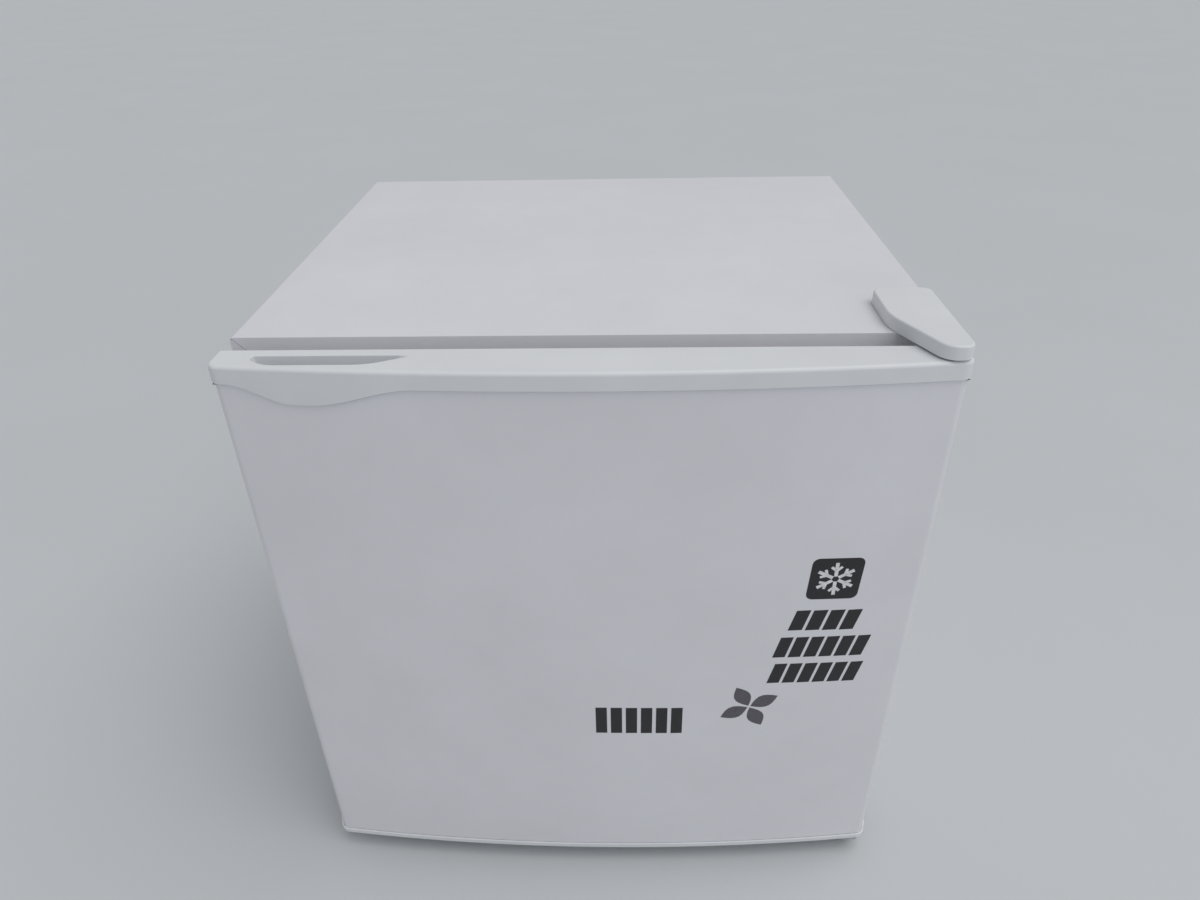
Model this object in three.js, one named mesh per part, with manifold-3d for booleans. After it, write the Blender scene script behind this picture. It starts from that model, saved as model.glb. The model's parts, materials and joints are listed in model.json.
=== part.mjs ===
import * as THREE from "three";
import { mergeVertices } from "three/addons/utils/BufferGeometryUtils.js";
import Module from "manifold-3d";

// A table-top refrigerator of about 45 litres with a bowed door hinged on the right, an ice box under
// the ceiling and a compressor bay low at the back.
// Millimetres, +Z up, the door faces -Y. The origin is on the floor, under the middle of the whole box.

const wasm = await Module();
wasm.setup();

// ---- Driving dimensions ----

const cabinetWidth = 470;
const overallDepth = 450; // crown of the door to the wall spacers
const worktopHeight = 492;
const footHeight = 15; // underside of the cabinet above the floor
const clearance = 0.3; // between pieces that touch
const sheet = 0.8; // painted steel
const linerWall = 1.5; // vacuum-formed plastic
const sideInsulation = 37;
const topInsulation = 37;
const backInsulation = 37;
const floorInsulation = 34;
const stepInsulation = 31; // over and in front of the compressor bay
const flangeWidth = 30; // front face of the steel cabinet
const linerLap = 8; // how far the liner's rim runs behind that face
const spacerDepth = 12;

const doorOverhang = 1; // caps beyond the cabinet, each side
const doorBow = 13;
const doorEdge = 24; // thickness at the sides
const doorLift = 4; // underside of the door above the underside of the cabinet
const doorDrop = 1; // top of the door below the worktop
const doorCorner = 7;
const gasketDepth = 15; // door to cabinet
const gasketWidth = 18;
const gasketInset = 13; // edge of the cabinet to the gasket
const capWall = 1.3;
const capPlate = 3;
const topCapFace = 12.5; // height of the top cap's front below the door's top
const bottomCapFace = 5;
const capLap = 4; // how far the skin runs up inside a cap
const apronDrop = 12.5; // dip of the top cap's lower edge, in front of the grip
const gripWidth = 100;
const gripReach = 13.5; // front to back
const gripDepth = 18;
const gripLip = 4; // least wall in front of the grip
const gripFromEdge = 25; // side of the door to the grip
const ridgeWidth = 22;
const ridgeDepth = 28;
const ridgeGap = 9.5; // ridge to the cavity's wall
const doorLinerWall = 1.3;

const pinRadius = 3; // hinge pins
const pinPlay = 0.3;
const hingeInset = 11; // hinge axis from the cabinet's side
const hingeOffset = 0.5; // hinge axis in front of the middle of the door's edge
const hingePlate = 3;
const bushRadius = 6;
const bushLength = 17;
const coverHeight = 9.5;
const coverWidth = 40;
const coverLength = 96;
const coverNose = 13.5; // hinge axis to the front of the cover
const coverWall = 1.6;
const coverCorner = 6;
const coverStraight = 0.48; // share of the cover's length before it slants in
const coverTip = 0.4; // share of its width that the slant takes away
const pinEnd = 5; // closed end of a bush to the end of its pin

const bayHeight = 170;
const bayDepth = 150;
const basePlate = 1.5;

const iceBoxWidth = 290;
const iceBoxHeight = 93;
const iceBoxDepth = 218;
const iceBoxFromFront = 115; // cabinet front to the ice box
const iceBoxWall = 1.5;
const hangerHeight = 6.5;
const bezelRim = 7;
const bezelDepth = 4;
const flapThickness = 3;
const trayDepth = 16;
const trayWall = 1.8;
const shelfAboveStep = 9; // step in the cavity's floor to the middle of the shelf's frame
const shelfWire = 2.5;
const binDepth = 89;
const binWall = 2;
const binTaper = 6;
const binCorner = 12;
const lowerBinHeight = 70;
const upperBinHeight = 54;
const upperBinFromFloor = 195;
const bossReach = 4;

const mountStud = 3; // welded studs that carry the compressor
const compressorHeight = 125;
const compressorRadius = 62;
const compressorStretch = 1.15; // width over depth
const seamSwell = 1.04; // radius at the shell's lapped seam, over its own
const pipeRadius = 2.4;
const suctionRadius = 3.5;
const capillaryRadius = 1;

// ---- Derived places ----

const half = cabinetWidth / 2;
const baseZ = footHeight;
const topZ = worktopHeight;
const doorFront = -overallDepth / 2;
const doorBack = doorFront + doorBow + doorEdge;
const frontY = doorBack + gasketDepth; // front face of the cabinet
const backY = overallDepth / 2 - spacerDepth;
const doorBottom = baseZ + doorLift;
const doorTop = topZ - doorDrop;
const doorHalf = half + doorOverhang;
const seamZ = doorTop - topCapFace;
const skinInset = capWall + clearance;
const foamInset = skinInset + sheet + clearance;
const insideHalf = half - sheet - clearance; // half width of what fits between the side panels

const cavityHalf = half - sheet - sideInsulation - linerWall;
const floorZ = baseZ + sheet + floorInsulation + linerWall;
const ceilingZ = topZ - sheet - topInsulation - linerWall;
const cavityBack = backY - sheet - backInsulation - linerWall;
const bayFront = backY - bayDepth;
const bayTop = baseZ + bayHeight;
const stepZ = bayTop + sheet + stepInsulation + linerWall;
const stepY = bayFront - sheet - stepInsulation - linerWall;

const hingeX = half - hingeInset;
const hingeY = doorBack - doorEdge / 2 - hingeOffset;

const ridgeHalf = cavityHalf - ridgeGap;
const ridgeBottom = floorZ + ridgeGap;
const ridgeTop = ceilingZ - ridgeGap;
const ridgeFace = doorBack + ridgeDepth;

// ---- Materials ----

const finish = (color, roughness, metalness = 0) => new THREE.MeshStandardMaterial({ color, roughness, metalness });
const whiteSteel = finish(0xdfe0e2, 0.35, 0.1);
const whiteCap = finish(0xdcdddb, 0.45);
const whiteLiner = finish(0xf0f1f2, 0.4);
const sealGrey = finish(0xd8d8d6, 0.75);
const foamYellow = finish(0xe3d6a0, 0.95);
const zinc = finish(0xb4b7ba, 0.4, 0.9);
const aluminium = finish(0xc9ccd0, 0.4, 0.9);
const blackSteel = finish(0x1b1c1e, 0.4, 0.4);
const blackPlastic = finish(0x202123, 0.6);
const copper = finish(0xb4694a, 0.35, 1);
const rubber = finish(0x232323, 0.9);
const clearPlastic = finish(0xe6edf0, 0.15);
const nylon = finish(0xeceae2, 0.5);

// ---- Solids ----

// A geometry as a manifold-3d solid: positions merged, and triangles without area left out.
function solidOf(geometry) {
  const bare = (geometry.index ? geometry.toNonIndexed() : geometry.clone()).deleteAttribute("normal");
  const merged = mergeVertices(bare.deleteAttribute("uv"), 1e-4);
  const corners = merged.index.array;
  const kept = [];
  for (let i = 0; i < corners.length; i += 3) {
    const [a, b, c] = corners.slice(i, i + 3);
    if (a !== b && b !== c && c !== a) kept.push(a, b, c);
  }
  const vertProperties = merged.attributes.position.array;
  return new wasm.Manifold(new wasm.Mesh({ numProp: 3, vertProperties, triVerts: new Uint32Array(kept) }));
}

function geometryOf(solid) {
  const { vertProperties, triVerts } = solid.getMesh();
  const geometry = new THREE.BufferGeometry();
  geometry.setAttribute("position", new THREE.BufferAttribute(vertProperties, 3));
  geometry.setIndex(new THREE.BufferAttribute(triVerts, 1));
  return geometry.toNonIndexed();
}

const join = (...shapes) => geometryOf(shapes.map(solidOf).reduce((a, b) => a.add(b)));
const cut = (shape, ...tools) => geometryOf(tools.map(solidOf).reduce((a, b) => a.subtract(b), solidOf(shape)));
const common = (a, b) => geometryOf(solidOf(a).intersect(solidOf(b)));

function box(x0, x1, y0, y1, z0, z1) {
  return new THREE.BoxGeometry(x1 - x0, y1 - y0, z1 - z0).translate((x0 + x1) / 2, (y0 + y1) / 2, (z0 + z1) / 2);
}

const slab = (shape, z0, z1, curveSegments = 8) =>
  new THREE.ExtrudeGeometry(shape, { depth: z1 - z0, bevelEnabled: false, curveSegments }).translate(0, 0, z0);

// A shape drawn in X and Z, standing between two depths.
const wallShape = (shape, y0, y1, curveSegments = 8) =>
  slab(shape, 0, y1 - y0, curveSegments).rotateX(Math.PI / 2).translate(0, y1, 0);

// A shape drawn in Y and Z, running across between two places.
function crossShape(shape, x0, x1) {
  const turn = new THREE.Matrix4().makeBasis(
    new THREE.Vector3(0, 1, 0),
    new THREE.Vector3(0, 0, 1),
    new THREE.Vector3(1, 0, 0),
  );
  return slab(shape, x0, x1).applyMatrix4(turn);
}

function polygon(points) {
  return new THREE.Shape(points.map(([x, y]) => new THREE.Vector2(x, y)));
}

// A convex outline, drawn counter-clockwise, moved inwards by a wall.
function inset(points, wall) {
  const lines = points.map((p, i) => {
    const q = points[(i + 1) % points.length];
    const along = new THREE.Vector2(q[0] - p[0], q[1] - p[1]).normalize();
    return { at: [p[0] - along.y * wall, p[1] + along.x * wall], along };
  });
  return lines.map((line, i) => {
    const before = lines[(i + lines.length - 1) % lines.length];
    const cross = before.along.x * line.along.y - before.along.y * line.along.x;
    const dx = line.at[0] - before.at[0];
    const dy = line.at[1] - before.at[1];
    const t = (dx * line.along.y - dy * line.along.x) / cross;
    return [before.at[0] + before.along.x * t, before.at[1] + before.along.y * t];
  });
}

// An outline whose corners are rounded.
function rounded(points, radius) {
  const shape = new THREE.Shape();
  points.forEach((point, i) => {
    const corner = new THREE.Vector2(...point);
    const back = new THREE.Vector2(...points[(i + points.length - 1) % points.length]).sub(corner);
    const on = new THREE.Vector2(...points[(i + 1) % points.length]).sub(corner);
    const reach = Math.min(radius, back.length() / 2.1, on.length() / 2.1);
    const enter = back.setLength(reach).add(corner);
    const leave = on.setLength(reach).add(corner);
    if (i === 0) shape.moveTo(enter.x, enter.y);
    else shape.lineTo(enter.x, enter.y);
    shape.quadraticCurveTo(corner.x, corner.y, leave.x, leave.y);
  });
  shape.closePath();
  return shape;
}

const rectangle = (x0, x1, y0, y1) => [
  [x0, y0],
  [x1, y0],
  [x1, y1],
  [x0, y1],
];

// A round bar between two points.
function rod(from, to, radius, sides = 16) {
  const a = new THREE.Vector3(...from);
  const along = new THREE.Vector3(...to).sub(a);
  const turn = new THREE.Quaternion().setFromUnitVectors(new THREE.Vector3(0, 1, 0), along.clone().normalize());
  return new THREE.CylinderGeometry(radius, radius, along.length(), sides)
    .applyQuaternion(turn)
    .translate(...a.addScaledVector(along, 0.5).toArray());
}

// A turned piece: radius and height pairs round the Z axis.
const turned = (profile, sides = 20) =>
  geometryOf(
    solidOf(
      new THREE.LatheGeometry(
        profile.map(([r, z]) => new THREE.Vector2(r, z)),
        sides,
      ).rotateX(Math.PI / 2),
    ),
  );

// A pipe's centre line: straight between corners with a round bend at each, and stations only where it turns.
class PipeRun extends THREE.Curve {
  constructor(corners, bend, bendSteps = 3) {
    super();
    const points = corners.map((c) => new THREE.Vector3(...c));
    this.stations = [points[0]];
    for (let i = 1; i < points.length - 1; i++) {
      const enter = points[i - 1].clone().sub(points[i]).setLength(bend).add(points[i]);
      const leave = points[i + 1].clone().sub(points[i]).setLength(bend).add(points[i]);
      this.stations.push(...new THREE.QuadraticBezierCurve3(enter, points[i], leave).getPoints(bendSteps));
    }
    this.stations.push(points.at(-1));
  }
  getPoint(t) {
    const last = this.stations.length - 1;
    const i = Math.min(Math.floor(t * last + 1e-6), last - 1);
    return this.stations[i].clone().lerp(this.stations[i + 1], t * last - i);
  }
  getPointAt(u) {
    return this.getPoint(u);
  }
  getTangentAt(u) {
    const last = this.stations.length - 1;
    const i = Math.round(u * last);
    const before = this.stations[Math.max(i - 1, 0)];
    const here = this.stations[i];
    const after = this.stations[Math.min(i + 1, last)];
    const come = here.clone().sub(before).normalize();
    return after.clone().sub(here).normalize().add(come).normalize();
  }
}

function pipe(corners, bend, radius, sides = 8, bendSteps = 3) {
  const run = new PipeRun(corners, bend, bendSteps);
  const section = new THREE.Shape(
    Array.from({ length: sides }, (_, i) => {
      const angle = ((i + 0.5) / sides) * 2 * Math.PI;
      return new THREE.Vector2(radius * Math.cos(angle), radius * Math.sin(angle));
    }),
  );
  return new THREE.ExtrudeGeometry(section, { steps: run.stations.length - 1, extrudePath: run });
}

// ---- Assembly helpers ----

const fridge = new THREE.Group();

function add(name, geometry, material, place = [0, 0, 0], group = fridge) {
  const mesh = new THREE.Mesh(geometry, material);
  mesh.name = name;
  mesh.position.set(...place);
  group.add(mesh);
}

const cabinet = new THREE.Group();
const door = new THREE.Group();
const interior = new THREE.Group();
const cooling = new THREE.Group();
fridge.add(cabinet, door, interior, cooling);

// ---- Where things are fastened ----

const foot = { x: half - 40, front: frontY + 82, back: backY - 24, stud: 4, pad: 14, padHeight: 10, studTop: 15 };
const footPlaces = { left: -foot.x, right: foot.x };
const screw = { shank: 2.3, head: 4.5, headHeight: 2.4, hole: 2.8, length: 12 };
const coverRight = half - 1.5;
const coverFront = hingeY - coverNose;
const coverBack = coverFront + coverLength;
const topScrewPlaces = [
  [coverRight - 11, coverBack - 11],
  [coverRight - 27, coverBack - 11],
  [coverRight - 19, coverBack - 33],
];
const bottomScrewPlaces = [
  [hingeX - 14, frontY + 18],
  [hingeX - 14, frontY + 38],
];
const coil = {
  low: bayTop + 30,
  pitch: 50,
  front: frontY + 33,
  back: backY - 43,
  drop: backY - 17,
  feed: backY - 95,
};
const coilX = insideHalf - pipeRadius;
const coilTailZ = bayTop - 10;
const suctionPlace = [-half + 45, backY - 63];
const capillaryPlace = [half - 135, backY - 63];

// ---- Cabinet ----

// The outer shell: one sheet folded over the top and down both sides, with front flanges mitred at the corners.
function cabinetWrap() {
  const outer = (grow) => [
    [-half + grow, baseZ],
    [half - grow, baseZ],
    [half - grow, topZ - grow],
    [-half + grow, topZ - grow],
  ];
  const shell = cut(
    wallShape(rounded(outer(0), 2), frontY, backY, 3),
    box(-half + sheet, half - sheet, frontY - 1, backY + 1, baseZ - 5, topZ - sheet),
  );
  const flange = cut(
    box(-half + sheet / 2, half - sheet / 2, frontY, frontY + sheet, baseZ, topZ - sheet / 2),
    box(-half + flangeWidth, half - flangeWidth, frontY - 1, frontY + 2, baseZ - 1, topZ - flangeWidth),
  );
  const mitreWidth = 0.6;
  const mitre = (side) =>
    new THREE.BoxGeometry(mitreWidth, 4, flangeWidth * 1.3)
      .rotateY((side * Math.PI) / 4)
      .translate(side * (half - flangeWidth / 2 - 2), frontY, topZ - flangeWidth / 2 - 2);
  const holes = topScrewPlaces.map(([x, y]) => rod([x, y, topZ - 3], [x, y, topZ + 1], screw.hole));
  return cut(join(shell, flange), mitre(-1), mitre(1), ...holes);
}

// The pressed ribs of the back: half widths, height, share of the panel's half width, and room at both ends.
const rib = { foot: 16, crest: 11, rise: 1.6, spread: 0.62, below: 40, above: 60 };

function rearPanel() {
  const low = bayTop + sheet + clearance;
  const plate = box(-insideHalf, insideHalf, backY - sheet, backY, low, topZ - sheet - clearance);
  const ribs = [-1, 0, 1].map((i) => {
    const x = i * insideHalf * rib.spread;
    const section = polygon([
      [x - rib.foot, -sheet / 4],
      [x + rib.foot, -sheet / 4],
      [x + rib.crest, rib.rise],
      [x - rib.crest, rib.rise],
    ]);
    return slab(section, low + rib.below, topZ - rib.above).translate(0, backY, 0);
  });
  return join(plate, ...ribs);
}

// The sheet that closes the insulation off from the compressor bay: a ceiling and a front wall.
function baySheet() {
  const bend = polygon([
    [bayFront - sheet, baseZ + clearance + sheet],
    [bayFront, baseZ + clearance + sheet],
    [bayFront, bayTop],
    [backY - sheet - clearance, bayTop],
    [backY - sheet - clearance, bayTop + sheet],
    [bayFront - sheet, bayTop + sheet],
  ]);
  const hole = (x, y, r) => rod([x, y, bayTop - 2], [x, y, bayTop + 3], r, 12);
  const pipes = [-1, 1].flatMap((side) => [
    hole(side * coilX, coil.feed, pipeRadius + 1),
    hole(side * coilX, coil.drop, pipeRadius + 1),
  ]);
  return cut(
    crossShape(bend, -insideHalf, insideHalf),
    ...pipes,
    hole(...suctionPlace, suctionRadius + 1.5),
    hole(...capillaryPlace, capillaryRadius + 1),
  );
}

const footNut = { reach: 7, height: 6 };

// The floor of the cabinet: a pan with an upright front rail and a welded nut over each levelling foot.
function basePan() {
  const pan = box(-insideHalf, insideHalf, frontY + sheet, bayFront - clearance, baseZ, baseZ + sheet);
  const rail = box(
    -half + flangeWidth + clearance,
    half - flangeWidth - clearance,
    frontY,
    frontY + sheet,
    baseZ,
    baseZ + flangeWidth,
  );
  const hole = (x, y, r) => rod([x, y, baseZ - 1], [x, y, baseZ + 12], r);
  const nuts = Object.values(footPlaces).map((x) =>
    new THREE.CylinderGeometry(footNut.reach, footNut.reach, footNut.height, 6)
      .rotateX(Math.PI / 2)
      .translate(x, foot.front, baseZ + sheet + footNut.height / 2 - 0.1),
  );
  const studs = Object.values(footPlaces).map((x) => hole(x, foot.front, foot.stud + clearance));
  const screws = bottomScrewPlaces.map(([x, y]) => hole(x, y, screw.hole));
  return cut(join(pan, rail, ...nuts), ...studs, ...screws);
}

// The plate under the compressor, with four welded studs and a turned-up edge at the back.
const compressorX = -half * 0.38;
const compressorY = backY - 75;
const mountX = 84;
const mountY = 46;
const mountPlaces = [
  [compressorX - mountX, compressorY - mountY],
  [compressorX + mountX, compressorY - mountY],
  [compressorX + mountX, compressorY + mountY],
  [compressorX - mountX, compressorY + mountY],
];
const plateTop = baseZ + basePlate;
const grommet = { height: 11, radius: 11, neck: 6, plate: 3, lip: 8.5, bore: mountStud + 2 * clearance };
const mountZ = plateTop + clearance + grommet.height + clearance;
const gland = { x: half * 0.25, z: baseZ + 14, body: 5.5, flange: 8, bore: 3.6 };

function compressorPlate() {
  const y0 = bayFront + clearance;
  const y1 = backY - sheet;
  const plate = box(-insideHalf, insideHalf, y0, y1, baseZ, plateTop);
  const edge = box(-insideHalf, insideHalf, y1 - basePlate, y1, baseZ, baseZ + 26);
  const studs = mountPlaces.map(([x, y]) => rod([x, y, plateTop - 1], [x, y, mountZ + 9], mountStud, 10));
  const glandHole = rod([gland.x, y1 - 4, gland.z], [gland.x, y1 + 2, gland.z], gland.body + clearance);
  return cut(join(plate, edge, ...studs), glandHole);
}

// The moulded bush that grips a mains lead where it leaves the bay.
function cordGland() {
  const lip = 2.5;
  const reach = sheet + basePlate + 2;
  const profile = [
    [gland.bore, 0],
    [gland.flange, 0],
    [gland.flange, lip],
    [gland.body, lip + 0.3],
    [gland.body, lip + 0.3 + reach],
    [gland.bore, lip + 0.3 + reach],
    [gland.bore, 0],
  ];
  return turned(profile, 16)
    .rotateX(Math.PI / 2)
    .translate(gland.x, backY - sheet + clearance + lip, gland.z);
}

// The profile of the inner tub in Y and Z, with the step over the compressor, grown by a wall.
function tubProfile(grow, front) {
  return polygon([
    [front, floorZ - grow],
    [stepY + grow, floorZ - grow],
    [stepY + grow, stepZ - grow],
    [cavityBack + grow, stepZ - grow],
    [cavityBack + grow, ceilingZ + grow],
    [front, ceilingZ + grow],
  ]);
}

const tubSolid = (grow, front) => crossShape(tubProfile(grow, front), -cavityHalf - grow, cavityHalf + grow);

const shelfZ = stepZ + shelfAboveStep;
const ledge = { reach: 6, height: 3.5 };

function innerLiner() {
  const rimFront = frontY + sheet + clearance;
  const rim = box(
    -half + flangeWidth - linerLap,
    half - flangeWidth + linerLap,
    rimFront,
    rimFront + linerWall,
    baseZ + flangeWidth - linerLap,
    topZ - flangeWidth + linerLap,
  );
  const tub = cut(join(tubSolid(linerWall, rimFront), rim), tubSolid(0, rimFront - 5));
  const ledgeBack = cavityBack - 4;
  const ledges = [-1, 1].flatMap((side) => {
    const x0 = side > 0 ? cavityHalf - ledge.reach : -cavityHalf - linerWall / 2;
    const x1 = side > 0 ? cavityHalf + linerWall / 2 : -cavityHalf + ledge.reach;
    const under = shelfZ - shelfWire - clearance;
    const over = shelfZ + shelfWire + 4;
    return [
      box(x0, x1, frontY + 30, ledgeBack, under - ledge.height, under),
      box(x0, x1, frontY + 60, ledgeBack, over, over + ledge.height),
    ];
  });
  return join(tub, ...ledges);
}

function insulation() {
  const gapped = sheet + 2 * clearance;
  const front = frontY + sheet + linerWall + 2 * clearance;
  const block = box(-half + gapped, half - gapped, front, backY - gapped, baseZ + gapped, topZ - gapped);
  const bay = box(-half, half, bayFront - sheet - clearance, backY + 1, baseZ - 1, bayTop + sheet + clearance);
  const tub = tubSolid(linerWall + clearance, front - 5);
  const grooves = [-1, 1].map((side) => pipe(coilCorners(side, 0), 9, (pipeRadius + 0.8) * Math.SQRT2, 4, 2));
  const topHoles = topScrewPlaces.map(([x, y]) => rod([x, y, topZ - 20], [x, y, topZ], screw.hole, 10));
  const lowHoles = bottomScrewPlaces.map(([x, y]) => rod([x, y, baseZ], [x, y, baseZ + 20], screw.hole, 10));
  const studHoles = Object.values(footPlaces).flatMap((x) => [
    rod([x, foot.front, baseZ], [x, foot.front, baseZ + footNut.height + 12], foot.stud + 1, 12),
    rod([x, foot.front, baseZ], [x, foot.front, baseZ + sheet + footNut.height + 1], footNut.reach + 1.2, 12),
  ]);
  const [sx, sy] = suctionPlace;
  const [cx, cy] = capillaryPlace;
  const pipeHoles = [
    rod([sx, sy, bayTop], [sx, sy, bayTop + 22], suctionRadius + 1, 10),
    rod([cx, cy, bayTop], [cx, cy, bayTop + 22], capillaryRadius + 1, 8),
  ];
  return cut(block, bay, tub, ...grooves, ...topHoles, ...lowHoles, ...studHoles, ...pipeHoles);
}

// The condenser pipe under one side panel: it rises from the bay, winds up the panel and drops back to the bay.
function coilCorners(side, tail = coilTailZ) {
  const x = side * coilX;
  const corners = [
    [x, coil.feed, tail],
    [x, coil.feed, coil.low],
  ];
  const loops = Math.floor((topZ - 30 - coil.low) / (2 * coil.pitch));
  const height = (rows) => coil.low + rows * coil.pitch;
  for (let i = 0; i < loops; i++) {
    if (i > 0) corners.push([x, coil.back, height(2 * i)]);
    corners.push([x, coil.front, height(2 * i)], [x, coil.front, height(2 * i + 1)]);
    corners.push([x, coil.back, height(2 * i + 1)]);
  }
  corners.push([x, coil.back, height(2 * loops)], [x, coil.drop, height(2 * loops)], [x, coil.drop, tail]);
  return corners;
}

const spacer = { half: 17, height: 44, corner: 3, x: half * 0.82, z: topZ - 70 };

const wallSpacer = () =>
  slab(
    rounded(rectangle(-spacer.half, spacer.half, clearance, spacerDepth), spacer.corner),
    -spacer.height / 2,
    spacer.height / 2,
    3,
  );

add("cabinet_wrap", cabinetWrap(), whiteSteel, [0, 0, 0], cabinet);
add("rear_panel", rearPanel(), zinc, [0, 0, 0], cabinet);
add("compressor_bay_sheet", baySheet(), zinc, [0, 0, 0], cabinet);
add("base_pan", basePan(), whiteSteel, [0, 0, 0], cabinet);
add("compressor_base_plate", compressorPlate(), zinc, [0, 0, 0], cabinet);
add("cord_gland", cordGland(), blackPlastic, [0, 0, 0], cabinet);
add("inner_liner", innerLiner(), whiteLiner, [0, 0, 0], cabinet);
add("insulation_foam", insulation(), foamYellow, [0, 0, 0], cabinet);
for (const [side, sign] of [["left", -1], ["right", 1]]) {
  add("wall_spacer_" + side, wallSpacer(), blackPlastic, [sign * spacer.x, backY, spacer.z], cabinet);
}

// ---- Feet ----

// A levelling foot turns on a threaded stud that runs up through the base pan into a welded nut.
const levellingStud = () => rod([0, 0, foot.padHeight + clearance], [0, 0, baseZ + foot.studTop], foot.stud, 16);

function levellingPad() {
  const { pad, padHeight, stud } = foot;
  const profile = [
    [0, 0],
    [pad - 1.5, 0],
    [pad, 1.5],
    [pad, 4.5],
    [stud + 3, padHeight],
    [0, padHeight],
  ];
  return turned(profile, 20);
}

// A fixed foot under the compressor plate.
const fixedFoot = () =>
  turned([
    [0, 0],
    [foot.pad - 1, 0],
    [foot.pad, 1.2],
    [foot.pad - 2, baseZ - clearance],
    [0, baseZ - clearance],
  ]);

for (const [side, x] of Object.entries(footPlaces)) {
  add("front_" + side + "_foot_stud", levellingStud(), zinc, [x, foot.front, 0], cabinet);
  add("front_" + side + "_foot_pad", levellingPad(), blackPlastic, [x, foot.front, 0], cabinet);
  add("rear_" + side + "_foot", fixedFoot(), blackPlastic, [x, foot.back, 0], cabinet);
}

// ---- Hinges ----

const coverOutline = [
  [coverRight, coverFront + 4],
  [coverRight, coverBack],
  [coverRight - coverWidth, coverBack],
  [coverRight - coverWidth, coverBack - coverLength * coverStraight],
  [coverRight - coverWidth * coverTip, coverFront],
  [coverRight - 4, coverFront],
];
const coverBase = topZ + clearance;

function hingeCover() {
  const shell = slab(rounded(coverOutline, coverCorner), coverBase, topZ + coverHeight, 4);
  const inside = rounded(inset(coverOutline, coverWall), coverCorner - 1);
  const hollow = slab(inside, coverBase - 1, topZ + coverHeight - coverWall, 4);
  return cut(shell, hollow);
}

function topBracket() {
  const z0 = topZ + clearance;
  const plate = slab(rounded(inset(coverOutline, coverWall + 1.2), coverCorner - 1), z0, z0 + hingePlate, 4);
  const pin = rod([hingeX, hingeY, doorTop - bushLength + pinEnd], [hingeX, hingeY, z0 + 1], pinRadius);
  const holes = topScrewPlaces.map(([x, y]) => rod([x, y, z0 - 1], [x, y, z0 + 5], screw.hole));
  return cut(join(plate, pin), ...holes);
}

// The lower bracket's reach from the hinge axis, and how far it runs back under the cabinet.
const lowBracket = { left: 24, right: 8, front: 9, slant: 6, back: 50, corner: 4 };

function bottomBracket() {
  const z1 = baseZ - clearance;
  const x0 = hingeX - lowBracket.left;
  const x1 = hingeX + lowBracket.right;
  const outline = [
    [x0, frontY + lowBracket.back],
    [x0, hingeY + lowBracket.slant],
    [hingeX - lowBracket.right, hingeY - lowBracket.front],
    [x1, hingeY - lowBracket.front],
    [x1, frontY + lowBracket.back],
  ];
  const plate = slab(rounded(outline, lowBracket.corner), z1 - hingePlate, z1, 4);
  const pin = rod([hingeX, hingeY, z1 - 1], [hingeX, hingeY, doorBottom + bushLength - pinEnd], pinRadius);
  const holes = bottomScrewPlaces.map(([x, y]) => rod([x, y, z1 - 5], [x, y, z1 + 1], screw.hole));
  return cut(join(plate, pin), ...holes);
}

// A washer that carries the door on the lower bracket.
const hingeWasher = () =>
  cut(
    rod([0, 0, 0], [0, 0, doorLift - clearance], bushRadius + 1),
    rod([0, 0, -1], [0, 0, doorLift + 1], pinRadius + pinPlay),
  );

// A pan-head screw: its head sits above z = 0, its shank runs down.
function panScrew() {
  const { shank, head, headHeight, length } = screw;
  const profile = [
    [0, -length],
    [shank * 0.5, -length],
    [shank, -length + 2],
    [shank, 0],
    [head, 0],
    [head, headHeight * 0.5],
    [head * 0.6, headHeight],
    [0, headHeight],
  ];
  return turned(profile, 12);
}

// A sleeve in the door that runs on a hinge pin, with its open end at z = 0.
const hingeBush = () =>
  turned(
    [
      [pinRadius + pinPlay, 0],
      [bushRadius, 0],
      [bushRadius, bushLength],
      [0, bushLength],
      [0, bushLength - 3],
      [pinRadius + pinPlay, bushLength - 3],
      [pinRadius + pinPlay, 0],
    ],
    24,
  );

add("top_hinge_cover", hingeCover(), whiteCap, [0, 0, 0], cabinet);
add("top_hinge_bracket", topBracket(), zinc, [0, 0, 0], cabinet);
add("bottom_hinge_bracket", bottomBracket(), zinc, [0, 0, 0], cabinet);
add("bottom_hinge_washer", hingeWasher(), nylon, [hingeX, hingeY, baseZ], cabinet);
topScrewPlaces.forEach(([x, y], i) => {
  const z = topZ + clearance + hingePlate + clearance;
  add("top_hinge_screw_" + (i + 1), panScrew(), zinc, [x, y, z], cabinet);
});
bottomScrewPlaces.forEach(([x, y], i) => {
  const z = baseZ - 2 * clearance - hingePlate;
  add("bottom_hinge_screw_" + (i + 1), panScrew().rotateX(Math.PI), zinc, [x, y, z], cabinet);
});

// ---- Door ----

const bowRadius = (doorHalf ** 2 + doorBow ** 2) / (2 * doorBow);
const bowCentre = doorFront + bowRadius;

// The bowed front of the door at some place across, moved inwards.
const faceY = (x, inwards = 0) => bowCentre - Math.sqrt((bowRadius - inwards) ** 2 - x ** 2);

// The door from above: a bowed front, rounded front corners and a straight back.
function doorPlan(inwards, back = doorBack) {
  const side = doorHalf - inwards;
  const corner = Math.max(doorCorner - inwards, 0.5);
  const turn = side - corner;
  const shape = new THREE.Shape();
  shape.moveTo(side, back);
  shape.lineTo(-side, back);
  shape.lineTo(-side, faceY(side, inwards) + corner);
  shape.quadraticCurveTo(-side, faceY(side, inwards), -turn, faceY(turn, inwards));
  const sweep = Math.asin(turn / (bowRadius - inwards));
  shape.absarc(0, bowCentre, bowRadius - inwards, -Math.PI / 2 - sweep, -Math.PI / 2 + sweep, false);
  shape.quadraticCurveTo(side, faceY(side, inwards), side, faceY(side, inwards) + corner);
  shape.closePath();
  return shape;
}

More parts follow.
